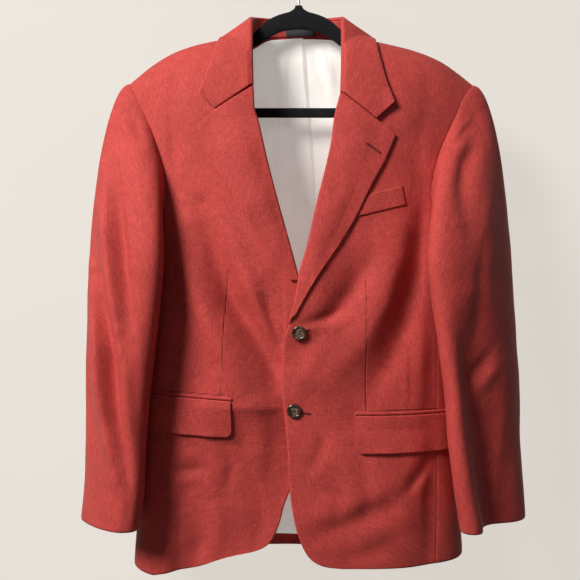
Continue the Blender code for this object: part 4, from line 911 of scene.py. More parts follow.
def sleeve_points(side, place, t):
    """The sleeve: place round it in degrees, t from the armhole (0) past the crest to the cuff (1)."""
    place = np.where(place > SLEEVE_TIP, place - 360, place)
    out, ahead = np.array([side, 0.0, 0.0]), np.array([0.0, -1.0, 0.0])
    z = mix(UNDERARM_CREST_Z, CUFF_Z, np.clip((t - SLEEVE_CREST) / (1 - SLEEVE_CREST), 0, 1))
    hanging = sleeve_ring(side, place, z)
    edge = armhole_points(side, ROUND_THE_ARMHOLE.value(place))
    crest = np.full(place.shape, UNDERARM_CREST_Z)
    tube = sleeve_ring(side, place, crest)
    forward = np.maximum(np.cos(np.radians(place - 35)), 0.0)[..., None]
    leave = unit(out * (1.05 - forward) + ahead * forward)
    length = np.linalg.norm(edge - tube, axis=-1, keepdims=True)
    rise = unit(sleeve_ring(side, place, crest + 5) - tube)
    start = edge + out * ARMHOLE_GAP
    first = start + leave * np.maximum(length * 0.11, 10.0)
    head = bezier((start, first, tube + rise * length * 0.45, tube), np.minimum(t / SLEEVE_CREST, 1))
    points = np.where((t > SLEEVE_CREST)[..., None], hanging, head)
    x, z = points[..., 0], points[..., 2]
    calm = smooth_step(t, 0.0, 0.12)
    face = np.maximum(np.sin(np.radians(place)), 0.0) * calm
    rear = np.maximum(-np.sin(np.radians(place)), 0.0) * calm
    toward = ahead * 0.8 + out * 0.4
    height = creased(SLEEVE_FOLDS[side], x, z) * face - creased(SLEEVE_BACK_FOLDS[side], x, z) * rear
    height = height + ripples(place * 1.3, z, 51 + side, 0.55) * (face + rear)
    return points + toward * height[..., None]



# ---------------------------------------------------------------- lining and label

def lining_points(s, t):
    """The back lining: s from the wearer's right side to the left, t from the neck down."""
    start = mix(0.0035, 0.017, smooth_step(np.abs(s), 0.17, 0.3))
    down = mix(start, 0.976, t)
    reach = np.abs(s) * 0.965
    place = np.where((s > 0)[..., None], back_place(LEFT)(reach, down), back_place(RIGHT)(reach, down))
    plain_x, z = place[..., 0], place[..., 1]
    x = plain_x + PLEAT_X.value(z) * np.exp(-(plain_x / 55) ** 2)
    fold = np.where(plain_x < 1.0, PLEAT_HIGH * np.maximum(1 + plain_x / PLEAT_WIDE, 0.0), 0.0)
    fold = fold + creased(LINING_FOLDS, x, z) + ripples(x * 1.2, z, 61, 0.35)
    skin = joined(x, by_side(back_y, x, z) + SEAM, z)
    step = 0.05
    slope_x = (by_side(back_y, x + step, z) - by_side(back_y, x - step, z)) / (2 * step)
    slope_z = (by_side(back_y, x, z) - by_side(back_y, x, z - step)) / step
    normal = unit(joined(-slope_x, 1, -slope_z))
    return skin - normal * (CLOTH + LINING_GAP + LINING) - joined(0, fold, 0)


def label_points(s, t):
    """The bare label, sewn on the lower half of the stand: s across, t down."""
    x = mix(LABEL_ENDS[0], LABEL_ENDS[1], s)
    middle = (COLLAR_END / 2 - STAND_ENDS[0]) / (STAND_ENDS[1] - STAND_ENDS[0])
    around = middle + (x + 1) / 24.0 / (STAND_ENDS[1] - STAND_ENDS[0])
    return collar_stand_points(mix(0.56, 0.03, t), around) - joined(0, REST_GAP + 1.2, 0)


# ---------------------------------------------------------------- meshes

def grid_normals(points):
    """Normals of a grid of points, as its first axis crossed with its second."""
    return unit(np.cross(np.gradient(points, axis=0), np.gradient(points, axis=1)))


def steps_along(points, axis):
    """Distance along a grid's lines from their first point."""
    moves = np.linalg.norm(np.diff(points, axis=axis), axis=-1)
    shape = list(points.shape[:2])
    shape[axis] = 1
    return np.concatenate([np.zeros(shape), np.cumsum(moves, axis=axis)], axis=axis)


def grid(across_steps, down_steps):
    return np.meshgrid(np.asarray(across_steps, float), np.asarray(down_steps, float), indexing="ij")


def near_line(points, line):
    """Distance of each point from a line of (x, z) places."""
    return np.min([gap for _, gap, _ in stretches(line, points[..., 0], points[..., 2])], axis=0)


def link(name, mesh, material):
    piece = bpy.data.objects.new(name, mesh)
    bpy.context.scene.collection.objects.link(piece)
    mesh.materials.append(material)
    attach(piece, "root")
    return piece


def turned_in(points, flip, turns):
    """The grid with its seam allowances: past an edge, cloth that turns in under the next piece."""
    for edge, reach in turns:
        normals = grid_normals(points) * (-1 if flip else 1)
        axis = 0 if edge[0] == "s" else 1
        grid_way, normal_way = np.moveaxis(points, axis, 0), np.moveaxis(normals, axis, 0)
        last, before = (0, 1) if edge[1] == "0" else (-1, -2)
        out = unit(grid_way[last] - grid_way[before])
        rows = np.stack([grid_way[last] + out * reach * along - normal_way[last] * reach * deep
                         for along, deep in TURN_PROFILE])
        parts = [rows[::-1], grid_way] if edge[1] == "0" else [grid_way, rows]
        points = np.moveaxis(np.concatenate(parts), 0, axis)
    return points


def shell(node, points, flip, material, thick=1.2, grain=(1.0, 0.0), seams=(), turns=(), kind="cloth"):
    """A thin closed cloth over a grid of points, with soft edges. It holds its place in the cloth as its UVs,
    in metres, and two distances for the material: to its edge and to its nearest sewn line."""
    # The coat's cloth uses the distances to the edge and to a sewn line for a painted highlight and painted
    # shade
    name = f"{node}_{kind}"
    points = turned_in(points, flip, turns)
    rows, columns = points.shape[:2]
    normals = grid_normals(points) * (-1 if flip else 1)
    outer, inner = points.copy(), points - normals * thick
    rim = np.zeros((rows, columns), bool)
    rim[[0, -1]] = True
    rim[:, [0, -1]] = True
    outer[rim] -= normals[rim] * thick * SOFT_RIM
    inner[rim] += normals[rim] * thick * SOFT_RIM
    index = np.arange(rows * columns).reshape(rows, columns)
    quads = np.stack([index[:-1, :-1], index[1:, :-1], index[1:, 1:], index[:-1, 1:]], axis=-1).reshape(-1, 4)
    loop = np.concatenate([index[:, 0], index[-1, 1:], index[-2::-1, -1], index[0, -2:0:-1]])
    after = np.roll(loop, -1)
    count = rows * columns
    sides = np.stack([after, loop, loop + count, after + count], axis=-1)
    faces = np.concatenate([quads, quads[:, ::-1] + count, sides])
    if flip:
        faces = faces[:, ::-1]
    mesh = bpy.data.meshes.new(name)
    places = np.concatenate([outer.reshape(-1, 3), inner.reshape(-1, 3)]) * MM
    mesh.from_pydata(places.tolist(), [], faces.tolist())
    wide, long = steps_along(points, 0), steps_along(points, 1)
    u = wide * grain[0] + long * grain[1]
    v = long * grain[0] - wide * grain[1]
    spread = np.stack([u, v], axis=-1).reshape(-1, 2) * MM
    spread = np.concatenate([spread, spread])
    corners = np.zeros(len(mesh.loops), dtype=np.int32)
    mesh.loops.foreach_get("vertex_index", corners)
    layer = mesh.uv_layers.new(name="cloth")
    layer.data.foreach_set("uv", spread[corners].ravel())
    edge = np.minimum(np.minimum(wide, wide[-1:] - wide), np.minimum(long, long[:, -1:] - long))
    sewn = np.full(edge.shape, UNSEWN)
    for line in seams:
        sewn = np.minimum(sewn, near_line(points, line))
    for word, values in (("edge", edge), ("sewn", sewn)):
        held = mesh.attributes.new(word, "FLOAT", "POINT")
        values = np.concatenate([values.ravel(), values.ravel()]) * MM
        held.data.foreach_set("value", values)
    mesh.shade_smooth()
    piece = link(name, mesh, material)
    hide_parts(node)
    return piece


# ---------------------------------------------------------------- materials

class Finish:
    """A material under construction, with short calls for its nodes."""

    def __init__(self, name, roughness, specular=0.5, metallic=0.0):
        self.material = bpy.data.materials.new(name)
        self.material.use_nodes = True
        self.tree = self.material.node_tree
        self.shader = self.tree.nodes["Principled BSDF"]
        self.shader.inputs["Roughness"].default_value = roughness
        self.shader.inputs["Specular IOR Level"].default_value = specular
        self.shader.inputs["Metallic"].default_value = metallic

    def put(self, socket, value):
        if isinstance(value, bpy.types.NodeSocket):
            self.tree.links.new(value, socket)
        else:
            socket.default_value = value

    def node(self, kind, *values, **settings):
        made = self.tree.nodes.new(kind)
        for word, value in settings.items():
            setattr(made, word, value)
        for socket, value in zip(made.inputs, values):
            if value is not None:
                self.put(socket, value)
        return made

    def vector(self, operation, a, b):
        return self.node("ShaderNodeVectorMath", a, b, operation=operation).outputs[0]

    def cloth_place(self, across, along, shift=0.0):
        """The place in the cloth, stretched to noise of that many cells a metre."""
        place = self.node("ShaderNodeUVMap", uv_map="cloth").outputs[0]
        stretched = self.vector("MULTIPLY", place, (across, along, 1.0))
        return self.vector("ADD", stretched, (shift, shift * 1.7, 0.0))

    def object_place(self):
        return self.node("ShaderNodeTexCoord").outputs["Object"]

    def noise(self, place, detail=2.0, rough=0.55, scale=1.0):
        made = self.node("ShaderNodeTexNoise")
        self.put(made.inputs["Vector"], place)
        self.put(made.inputs["Scale"], scale)
        self.put(made.inputs["Detail"], detail)
        self.put(made.inputs["Roughness"], rough)
        return made.outputs["Fac"]

    def math(self, operation, a, b=0.0, c=0.0):
        return self.node("ShaderNodeMath", a, b, c, operation=operation).outputs[0]

    def weighed(self, a, share_a, b, share_b):
        return self.math("ADD", self.math("MULTIPLY", a, share_a), self.math("MULTIPLY", b, share_b))

    def spread(self, value, low, high, to_low, to_high, smooth=True):
        kind = "SMOOTHSTEP" if smooth else "LINEAR"
        made = self.node("ShaderNodeMapRange", value, low, high, to_low, to_high, interpolation_type=kind)
        return made.outputs[0]

    def ramp(self, value, *stops):
        made = self.node("ShaderNodeValToRGB", value)
        band = made.color_ramp
        for place, colour in stops[2:]:
            band.elements.new(place)
        for element, (place, colour) in zip(band.elements, sorted(stops)):
            element.position = place
            element.color = (*colour, 1.0)
        return made.outputs[0]

    def tinted(self, colour, value):
        """A colour times a brightness."""
        made = self.node("ShaderNodeVectorMath", colour, operation="SCALE")
        self.put(made.inputs["Scale"], value)
        return made.outputs[0]

    def held(self, word):
        return self.node("ShaderNodeAttribute", attribute_name=word).outputs["Fac"]

    def bump(self, height, distance, strength=1.0, under=None):
        made = self.node("ShaderNodeBump")
        self.put(made.inputs["Height"], height)
        self.put(made.inputs["Distance"], distance)
        self.put(made.inputs["Strength"], strength)
        if under is not None:
            self.put(made.inputs["Normal"], under)
        return made.outputs[0]

    def sheen(self, weight, roughness, tint=(1.0, 1.0, 1.0)):
        self.shader.inputs["Sheen Weight"].default_value = weight
        self.shader.inputs["Sheen Roughness"].default_value = roughness
        self.shader.inputs["Sheen Tint"].default_value = (*tint, 1.0)

    def done(self, colour, normal=None):
        self.put(self.shader.inputs["Base Color"], colour)
        if normal is not None:
            self.put(self.shader.inputs["Normal"], normal)
        return self.material


def woven_cloth():
    """Fine plain weave whose threads vary in tone, so that it looks flecked along and across."""
    look = Finish("coat_cloth", 0.8, specular=0.3)
    warp = look.noise(look.cloth_place(950, 75))
    weft = look.noise(look.cloth_place(75, 950, shift=7.0))
    fleck = look.noise(look.cloth_place(430, 430, shift=3.0), detail=3.0, rough=0.7)
    cloud = look.noise(look.cloth_place(17, 17, shift=5.0), detail=3.0)
    threads = look.weighed(warp, 0.36, weft, 0.36)
    tone = look.math("ADD", threads, look.math("MULTIPLY", fleck, 0.28))
    colour = look.ramp(tone, (0.36, DARK_THREAD), (0.64, PALE_THREAD), (0.5, CLOTH_RED))
    # Distance to a sewn line, for the seam's bump and for painted shade: the cloth is darkened to 0.6 along
    # it
    sewn = look.spread(look.held("sewn"), 0.0003, 0.0017, 0.0, 1.0)
    # Distance to the edge, for a painted highlight: the cloth is lightened by a tenth at its edges
    edge = look.spread(look.held("edge"), 0.0, 0.0026, 0.0, 1.0)
    shade = look.math("MULTIPLY", look.spread(cloud, 0.3, 0.7, 0.93, 1.07),
                      look.math("MULTIPLY", look.spread(sewn, 0, 1, 0.6, 1.0, smooth=False),
                                look.spread(edge, 0, 1, 1.1, 1.0, smooth=False)))
    crumple = look.noise(look.cloth_place(85, 85, shift=2.0), detail=4.0, rough=0.6)
    normal = look.bump(crumple, 0.0013, 0.5)
    normal = look.bump(threads, 0.0003, 0.35, under=normal)
    normal = look.bump(sewn, 0.0007, 1.0, under=normal)
    look.sheen(0.05, 0.4, (1.0, 0.6, 0.55))
    return look.done(look.tinted(colour, shade), normal)


def satin_lining():
    look = Finish("lining_satin", 0.36, specular=0.45)
    thread = look.noise(look.cloth_place(60, 1300))
    cloud = look.noise(look.cloth_place(14, 14, shift=9.0), detail=3.0)
    colour = look.ramp(cloud, (0.3, (0.66, 0.645, 0.605)), (0.7, (0.74, 0.73, 0.69)))
    sewn = look.spread(look.held("sewn"), 0.0003, 0.0016, 0.0, 1.0)
    creases = look.noise(look.cloth_place(55, 26, shift=4.0), detail=3.0, rough=0.5)
    normal = look.bump(creases, 0.0022, 0.6)
    normal = look.bump(thread, 0.0003, 0.3, under=normal)
    normal = look.bump(sewn, 0.0006, 1.0, under=normal)
    look.shader.inputs["Anisotropic"].default_value = 0.4
    look.sheen(0.15, 0.3)
    # Darker along sewn lines: painted shade in the seams' grooves
    shade = look.tinted(colour, look.spread(sewn, 0, 1, 0.8, 1.0, smooth=False))
    # The lining glows in its own colour: painted light for the light it lacks inside the coat
    look.put(look.shader.inputs["Emission Color"], shade)
    look.shader.inputs["Emission Strength"].default_value = LINING_PAINTED_LIGHT
    return look.done(shade, normal)


def label_cloth():
    look = Finish("label_weave", 0.5, specular=0.4)
    twill = look.noise(look.cloth_place(1500, 300))
    edge = look.spread(look.held("edge"), 0.0009, 0.0014, 0.0, 1.0)
    colour = look.ramp(twill, (0.35, (0.035, 0.036, 0.042)), (0.65, (0.075, 0.077, 0.088)))
    return look.done(look.tinted(colour, look.spread(edge, 0, 1, 0.55, 1.0)), look.bump(twill, 0.0002, 0.5))


def polished_horn(name, dark, warm, pale):
    """Mottled horn, paler in the middle of the button."""
    look = Finish(name, 0.22, specular=0.5)
    place = look.object_place()
    cloud = look.noise(place, detail=4.0, rough=0.65, scale=190.0)
    vein = look.noise(look.vector("MULTIPLY", place, (520.0, 520.0, 150.0)), detail=3.0)
    middle = look.spread(look.held("radius"), 0.25, 0.75, 0.16, 0.0)
    tone = look.math("ADD", look.weighed(cloud, 0.6, vein, 0.4), middle)
    look.shader.inputs["Coat Weight"].default_value = 0.5
    look.shader.inputs["Coat Roughness"].default_value = 0.12
    return look.done(look.ramp(tone, (0.42, dark), (0.72, pale), (0.54, warm)), look.bump(cloud, 0.0002, 0.2))


def flocked():
    look = Finish("hanger_flock", 0.95, specular=0.15)
    place = look.object_place()
    pile = look.noise(place, detail=3.0, rough=0.7, scale=1600.0)
    cloud = look.noise(place, detail=2.0, scale=40.0)
    look.sheen(0.08, 0.6, (0.8, 0.85, 1.0))
    colour = look.ramp(look.weighed(pile, 0.6, cloud, 0.4), (0.35, (0.0035, 0.0035, 0.004)),
                       (0.7, (0.011, 0.011, 0.012)))
    return look.done(colour, look.bump(pile, 0.0004, 0.6))


def plated_wire():
    look = Finish("hook_plating", 0.24, metallic=1.0)
    place = look.object_place()
    brushed = look.noise(place, detail=3.0, scale=900.0)
    look.put(look.shader.inputs["Roughness"], look.spread(brushed, 0.3, 0.7, 0.18, 0.34))
    return look.done(look.ramp(brushed, (0.3, (0.55, 0.55, 0.56)), (0.7, (0.68, 0.68, 0.69))))


def sewing_thread(name, colour):
    look = Finish(name, 0.7, specular=0.3)
    place = look.object_place()
    twist = look.noise(place, detail=2.0, scale=2600.0)
    darker = tuple(value * 0.6 for value in colour)
    return look.done(look.ramp(twist, (0.35, darker), (0.65, colour)), look.bump(twist, 0.0002, 0.6))


def backdrop_paint(colour, glow, one_sided):
    look = Finish("backdrop", 0.95, specular=0.1)
    place = look.object_place()
    cloud = look.noise(place, detail=2.0, scale=2.0)
    even_colour = look.ramp(cloud, (0.0, colour), (1.0, colour))
    shade = look.tinted(even_colour, look.spread(cloud, 0.3, 0.7, 0.985, 1.015))
    look.put(look.shader.inputs["Emission Color"], shade)
    look.shader.inputs["Emission Strength"].default_value = glow
    material = look.done(shade)
    if one_sided:
        back = look.node("ShaderNodeNewGeometry").outputs["Backfacing"]
        clear = look.node("ShaderNodeBsdfTransparent").outputs[0]
        either = look.node("ShaderNodeMixShader", back, look.shader.outputs[0], clear).outputs[0]
        look.tree.links.new(either, look.tree.nodes["Material Output"].inputs["Surface"])
    return material


# ---------------------------------------------------------------- coat

def even(count, low=0.0, high=1.0):
    return np.linspace(low, high, count)


def shoulder_steps(near, count):
    """Steps from the shoulder to the hem, close together where the shoulder rounds over."""
    close = SHOULDER_SHARE * (np.arange(near) / near) ** 2
    return np.concatenate([close, even(count, SHOULDER_SHARE, 1.0)])


def jet_line(side):
    """The seam over the jetting, as (x, z)."""
    flap, high = FLAP[side], REST_GAP + JET_HIGH + JET_SEAM_GAP
    outer_x = flap["inner"] + JET_SEAM_END * flap["wide"]
    outer_z = mix(flap["top_in"], flap["top_out"], JET_SEAM_END)
    return [(side * (flap["inner"] - JET_PAST), flap["top_in"] + high), (side * outer_x, outer_z + high)]


def make_body(cloth):
    back_across = np.concatenate([even(26, 0, 0.3), even(34, 0.3, 1.0)[1:]])
    for side, word in SIDES.items():
        left = side == LEFT
        points = front_points(side, *grid(even(78), shoulder_steps(16, 226)))
        # The darts and the jet seam are sewn lines, along which the cloth gets painted shade
        shell(f"front_{word}", points, left, cloth, seams=[DARTS[side], jet_line(side)],
              turns=[("s1", 3.2), ("t0", 0.9)])
        points = back_points(side, *grid(back_across, shoulder_steps(16, 170)))
        shell(f"back_{word}", points, not left, cloth, turns=[("s0", 1.6), ("s1", 3.2), ("t0", 0.9)])
        points = side_points(side, *grid(even(32), even(140)))
        shell(f"side_panel_{word}", points, left, cloth, turns=[("s0", 3.2), ("s1", 3.2), ("t0", 3.0)])


def make_lapels(cloth):
    steps = np.concatenate([even(18, 0, ROLLED_SHARE), even(42, ROLLED_SHARE, 1)[1:]])
    grids = {}
    down = np.concatenate([even(14, 0, 0.11), even(116, 0.11, 1)[1:]])
    for side, word in SIDES.items():
        points = lapel_points(side, *grid(steps, down))
        shell(f"lapel_{word}", points, side == LEFT, cloth, grain=LAPEL_GRAIN[side], turns=[("t0", 1.6)])
        grids[side] = points
    return grids


def make_collar(cloth):
    steps = np.concatenate([even(14, 0, ROLLED_SHARE), even(28, ROLLED_SHARE, 1)[1:]])
    points = collar_fall_points(*grid(steps, even(260)))
    shell("collar_fall", points, True, cloth)
    points = collar_stand_points(*grid(even(14), even(150)))
    shell("collar_stand", points, True, cloth, thick=1.4)


def make_sleeves(cloth):
    gap = SLEEVE_SEAM_TURN
    top = np.concatenate([even(74, SLEEVE_FRONT_SEAM + gap, SLEEVE_TIP),
                          even(14, SLEEVE_TIP, SLEEVE_BACK_SEAM - gap)[1:]])
    under = even(44, SLEEVE_BACK_SEAM + gap, SLEEVE_FRONT_SEAM + 360 - gap)
    down = np.concatenate([0.06 * even(12) ** 1.5, even(200, 0.06, 1.0)[1:]])
    for side, word in SIDES.items():
        for part, steps in (("top", top), ("under", under)):
            points = sleeve_points(side, *grid(steps, down))
            shell(f"{part}_sleeve_{word}", points, side == LEFT, cloth,
                  turns=[("s0", 1.6), ("s1", 1.6), ("t0", 4.5)])


def make_pockets(cloth, skins):
    for side, word in SIDES.items():
        flap = FLAP[side]
        corner = FLAP_CORNER / flap["wide"]
        round_end = corner * even(9) ** 2
        steps = np.concatenate([round_end, even(82, corner, 1 - corner)[1:-1], 1 - round_end[::-1]])
        s, t = grid(steps, even(30))
        top_z = mix(flap["top_in"], flap["top_out"], s)
        near = np.clip(np.minimum(s, 1 - s) / corner, 0, 1)
        deep = flap["deep"] - FLAP_CORNER * (1 - np.sqrt(1 - (1 - near) ** 2))
        reach = flap["inner"] + flap["wide"] * s
        lift = FLAP_LIFT + FLAP_FLARE * t + flap_waves(side, s) * t ** 2
        points = skins[side].place(reach, top_z - deep * t, lift)
        shell(f"pocket_flap_{word}", points, side == LEFT, cloth, thick=1.1)
        s, t = grid(even(76), even(7))
        along = (flap["wide"] + 2 * JET_PAST) * s
        reach = flap["inner"] - JET_PAST + along
        z = mix(flap["top_in"], flap["top_out"], (along - JET_PAST) / flap["wide"]) + REST_GAP
        z = z + JET_HIGH * (1 - t)
        lift = JET_LIFT - 1.0 * (2 * t - 1) ** 4
        points = skins[side].place(reach, z, lift)
        shell(f"pocket_jet_{word}", points, side == LEFT, cloth, thick=0.8)


def flap_waves(side, s):
    """The flap's lower edge lifts a little here and there."""
    return sum(high * np.exp(-((s - at) / wide) ** 2) for at, wide, high in FLAP_WAVES[side])


def make_welt(cloth):
    s, t = grid(even(46), even(18))
    corners = [np.array(WELT[key], float) for key in ("inner_top", "outer_top", "inner_low", "outer_low")]
    top, low = mix(corners[0], corners[1], s[..., None]), mix(corners[2], corners[3], s[..., None])
    spot = mix(top, low, t[..., None])
    x, z = spot[..., 0], spot[..., 1]
    base = joined(x, front_y(x, z, LEFT) - SEAM, z)
    points = base - grid_normals(base) * WELT_LIFT
    shell("breast_welt", points, True, cloth, thick=1.0)


def make_lining(lining, label):
    left = np.concatenate([even(44, -1, -0.3), even(52, -0.3, -0.002)[1:]])
    right = np.concatenate([even(40, 0.014, 0.3), even(40, 0.3, 1)[1:]])
    down = np.concatenate([even(16, 0, 0.08), even(130, 0.08, 1)[1:]])
    points = lining_points(*grid(np.concatenate([left, right]), down))
    shell("back_lining", points, True, lining, thick=0.6, kind="satin")
    points = label_points(*grid(even(40), even(12)))
    shell("neck_label", points, True, label, thick=0.6, kind="weave")


# ---------------------------------------------------------------- buttons and threads

def button_piece(name, node, radius, thick, hole, sides, place, facing, spin, material):
    """A sewn-through button: flat back, rolled rim, dished face and four holes."""
    hole_at = radius * 0.23
    build = bmesh.new()
    loops = []
    for wide, high in BUTTON_PROFILE:
        turns = np.arange(sides) * 2 * np.pi / sides
        out = radius * wide
        spots = [Vector((out * math.cos(a), out * math.sin(a), thick * high)) * MM for a in turns]
        loops.append([build.verts.new(spot) for spot in spots])
    join_rings(build, loops)
    floor, back = ring_edges(build, loops[-1]), ring_edges(build, loops[0])
    for turn in range(4):
        angle = math.radians(45 + 90 * turn)
        middle = Vector((hole_at * math.cos(angle), hole_at * math.sin(angle), 0))
        tube = []
        for high in (0, thick * 0.62, thick * 0.7):
            wide = hole * (1.25 if high > thick * 0.65 else 1.0)
            turns = np.arange(BUTTON_HOLE_SIDES) * 2 * np.pi / BUTTON_HOLE_SIDES
            spots = [(middle + Vector((wide * math.cos(a), wide * math.sin(a), high))) * MM for a in turns]
            tube.append([build.verts.new(spot) for spot in spots])
        join_rings(build, tube)
        floor += ring_edges(build, tube[-1])
        back += ring_edges(build, tube[0])
    for edges, side in ((floor, 1), (back, -1)):
        bmesh.ops.triangle_fill(build, edges=edges, use_beauty=True, normal=(0, 0, side))
    bmesh.ops.recalc_face_normals(build, faces=build.faces)
    mesh = bpy.data.meshes.new(name)
    build.to_mesh(mesh)
    build.free()
    held = mesh.attributes.new("radius", "FLOAT", "POINT")
    held.data.foreach_set("value", [v.co.xy.length / (radius * MM) for v in mesh.vertices])
    mesh.shade_smooth()
    mesh.set_sharp_from_angle(angle=math.radians(42))
    turn = Vector(facing).to_track_quat("Z", "Y").to_matrix().to_4x4()
    turn = turn @ Matrix.Rotation(math.radians(spin), 4, "Z")
    turn.translation = Vector(place) * MM
    mesh.transform(turn)
    piece = link(name, mesh, material)
    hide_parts(node)
    return turn, hole_at


def join_rings(build, rings):
    for low, high in zip(rings, rings[1:]):
        for a, b, c, d in zip(low, low[1:] + low[:1], high[1:] + high[:1], high):
            build.faces.new((a, b, c, d))


def ring_edges(build, verts):
    return [build.edges.get((a, b)) or build.edges.new((a, b)) for a, b in zip(verts, verts[1:] + verts[:1])]


def threads(name, lines, radius, material, resolution=2):
    """Tubes in one piece, each along its points, which are in metres."""
    curve = bpy.data.curves.new(name, "CURVE")
    curve.dimensions = "3D"
    curve.bevel_depth = radius * MM
    curve.bevel_resolution = resolution
    curve.use_fill_caps = True
    for line in lines:
        spline = curve.splines.new("POLY")
        spline.points.add(len(line) - 1)
        for point, place in zip(spline.points, line):
            point.co = (*place, 1.0)
    drawn = bpy.data.objects.new(name, curve)
    bpy.context.scene.collection.objects.link(drawn)
    graph = bpy.context.evaluated_depsgraph_get()
    mesh = bpy.data.meshes.new_from_object(drawn.evaluated_get(graph))
    bpy.data.objects.remove(drawn)
    mesh.shade_smooth()
    piece = link(name, mesh, material)
    return piece


def button_threads(turn, hole_at, thick):
    """Two parallel stitches over the face, from hole to hole."""
    lines = []
    reach = hole_at * 0.707
    for side in (-1, 1):
        for shift in (-0.35, 0.35):
            ends = [(-reach, 0.45), (-reach * 0.8, 0.74), (0, 0.82), (reach * 0.8, 0.74), (reach, 0.45)]
            spots = [Vector((x, side * reach + shift, thick * high)) * MM for x, high in ends]
            lines.append([tuple(turn @ spot) for spot in spots])
    return lines


def front_facing(x, z, side):
    step = 1.0
    along = float(front_y(x + step, z, side) - front_y(x - step, z, side)) / (2 * step)
    up = float(front_y(x, z + step, side) - front_y(x, z - step, side)) / (2 * step)
    return Vector((along, -1, up)).normalized()


def make_buttons(horn, dark_horn, cotton):
    for spin, (word, (x, z)) in zip((12, 40), FRONT_BUTTONS.items()):
        facing = front_facing(x, z, LEFT)
        place = Vector((x, float(front_y(x, z, LEFT)) - SEAM, z)) + facing * (REST_GAP + 0.25)
        name = f"front_button_{word}"
        turn, reach = button_piece(f"{name}_horn", name, BUTTON_RADIUS, BUTTON_THICK, 1.0, 56, place, facing,
                                   spin, horn)
        threads(f"{name}_thread", button_threads(turn, reach, BUTTON_THICK), 0.36, cotton)
    for side, word in SIDES.items():
        for index, order in enumerate(CUFF_BUTTONS):
            t = CUFF_BUTTON_LOW_T - CUFF_BUTTON_STEP_T * index
            around = [CUFF_BUTTON_PLACE + step for step in (-1, 0, 1)]
            spots = sleeve_points(side, *grid(around, [t - 0.004, t, t + 0.004]))
            facing = Vector(grid_normals(spots)[1, 1]) * -side
            place = Vector(spots[1, 1]) + facing * (REST_GAP + 0.5)
            name = f"cuff_button_{word}_{order}"
            turn, reach = button_piece(f"{name}_horn", name, CUFF_BUTTON_RADIUS, CUFF_BUTTON_THICK, 0.75, 36,
                                       place, facing, 20 * index, dark_horn)
            threads(f"{name}_thread", button_threads(turn, reach, CUFF_BUTTON_THICK), 0.28, cotton)


def over_grid(points, x, z, lift):
    """The place over a cloth's grid at (x, z), lifted along its normal, in metres."""
    gap = (points[..., 0] - x) ** 2 + (points[..., 2] - z) ** 2 + (points[..., 1] + 90) ** 2 * 0.0001
    i, j = np.unravel_index(np.argmin(gap), gap.shape)
    i, j = np.clip(i, 1, points.shape[0] - 2), np.clip(j, 1, points.shape[1] - 2)
    near = points[i - 1:i + 2, j - 1:j + 2]
    normal = grid_normals(near)[1, 1]
    normal = normal if normal[1] < 0 else -normal
    y = near[1, 1, 1] - ((x - near[1, 1, 0]) * normal[0] + (z - near[1, 1, 2]) * normal[2]) / normal[1]
    return tuple((np.array([x, y, z]) + normal * lift) * MM)


def buttonhole(name, points, start, end, wide, material):
    """Worked buttonhole: close whipped stitches down both sides of a slit, with a bar at its end."""
    start, end = np.array(start, float), np.array(end, float)
    along = unit(end - start)
    aside = np.array([-along[1], along[0]])
    count = int(np.linalg.norm(end - start) / 0.62)
    lines = []
    for side in (-1, 1):
        for share in np.linspace(0, 1, count):
            middle = start + (end - start) * share
            spots = [middle + aside * side * wide * reach for reach in (0.12, 0.5, 1.0)]
            lifts = (0.15, 0.5, 0.0)
            lines.append([over_grid(points, *spot, lift) for spot, lift in zip(spots, lifts)])
    for share in (0.0, 0.006, 0.994, 1.0):
        middle = start + (end - start) * share
        spots = [middle + aside * wide * reach for reach in (-1.0, 0.0, 1.0)]
        lines.append([over_grid(points, *spot, 0.35) for spot in spots])
    threads(name, lines, 0.3, material)


# ---------------------------------------------------------------- hanger

def arch(line):
    """Points from the middle of the neck arch to where it meets the arm."""
    shares = np.array([0, 0.02, 0.035, 0.05, 0.065, 0.085, 0.11, 0.15, 0.2, 0.27, 0.35, 0.43, 0.5, 0.58, 0.66,
                       0.75, 0.83, 0.92, 1])
    return [tuple(point) for point in path(line).at(shares)]


def hanger_half(side):
    """Outer and inner outline of half the hanger, point by point from the top to the bar's middle."""
    arm_x = np.linspace(92, ARM_END_X - 12, 15)
    drop = ridge_z(arm_x, side) - ARM_DROP
    low_z = BAR_TOP_Z - BAR_HIGH
    last = drop[-1]
    outer_end = path([(arm_x[-1], last), (ARM_END_X - 3, last - 8), (ARM_END_X, last - 22),
                      (ARM_END_X, low_z + 26), (ARM_END_X - 4, low_z + 8), (ARM_END_X - 14, low_z)])
    inner_x = np.linspace(96, ARM_END_X - 24, 15)
    inner_end = path([(inner_x[-1], last - ARM_HIGH), (arm_x[-1] - 6, last - ARM_HIGH - 7),
                      (arm_x[-1] - 2, last - ARM_HIGH - 16), (arm_x[-1] - 2, low_z + BAR_HIGH + 14),
                      (arm_x[-1] - 6, low_z + BAR_HIGH + 5), (arm_x[-1] - 16, low_z + BAR_HIGH)])
    shares = np.linspace(0, 1, 24)[1:]
    bar_x = [ARM_END_X * share for share in (0.8, 0.6, 0.4, 0.2, 0.0)]
    outer = arch(ARCH_TOP) + list(zip(arm_x, drop)) + [tuple(p) for p in outer_end.at(shares)]
    inner = arch(ARCH_UNDER) + list(zip(inner_x, drop - ARM_HIGH)) + [tuple(p) for p in inner_end.at(shares)]
    return outer + [(x, low_z) for x in bar_x], inner + [(x, low_z + BAR_HIGH) for x in bar_x]


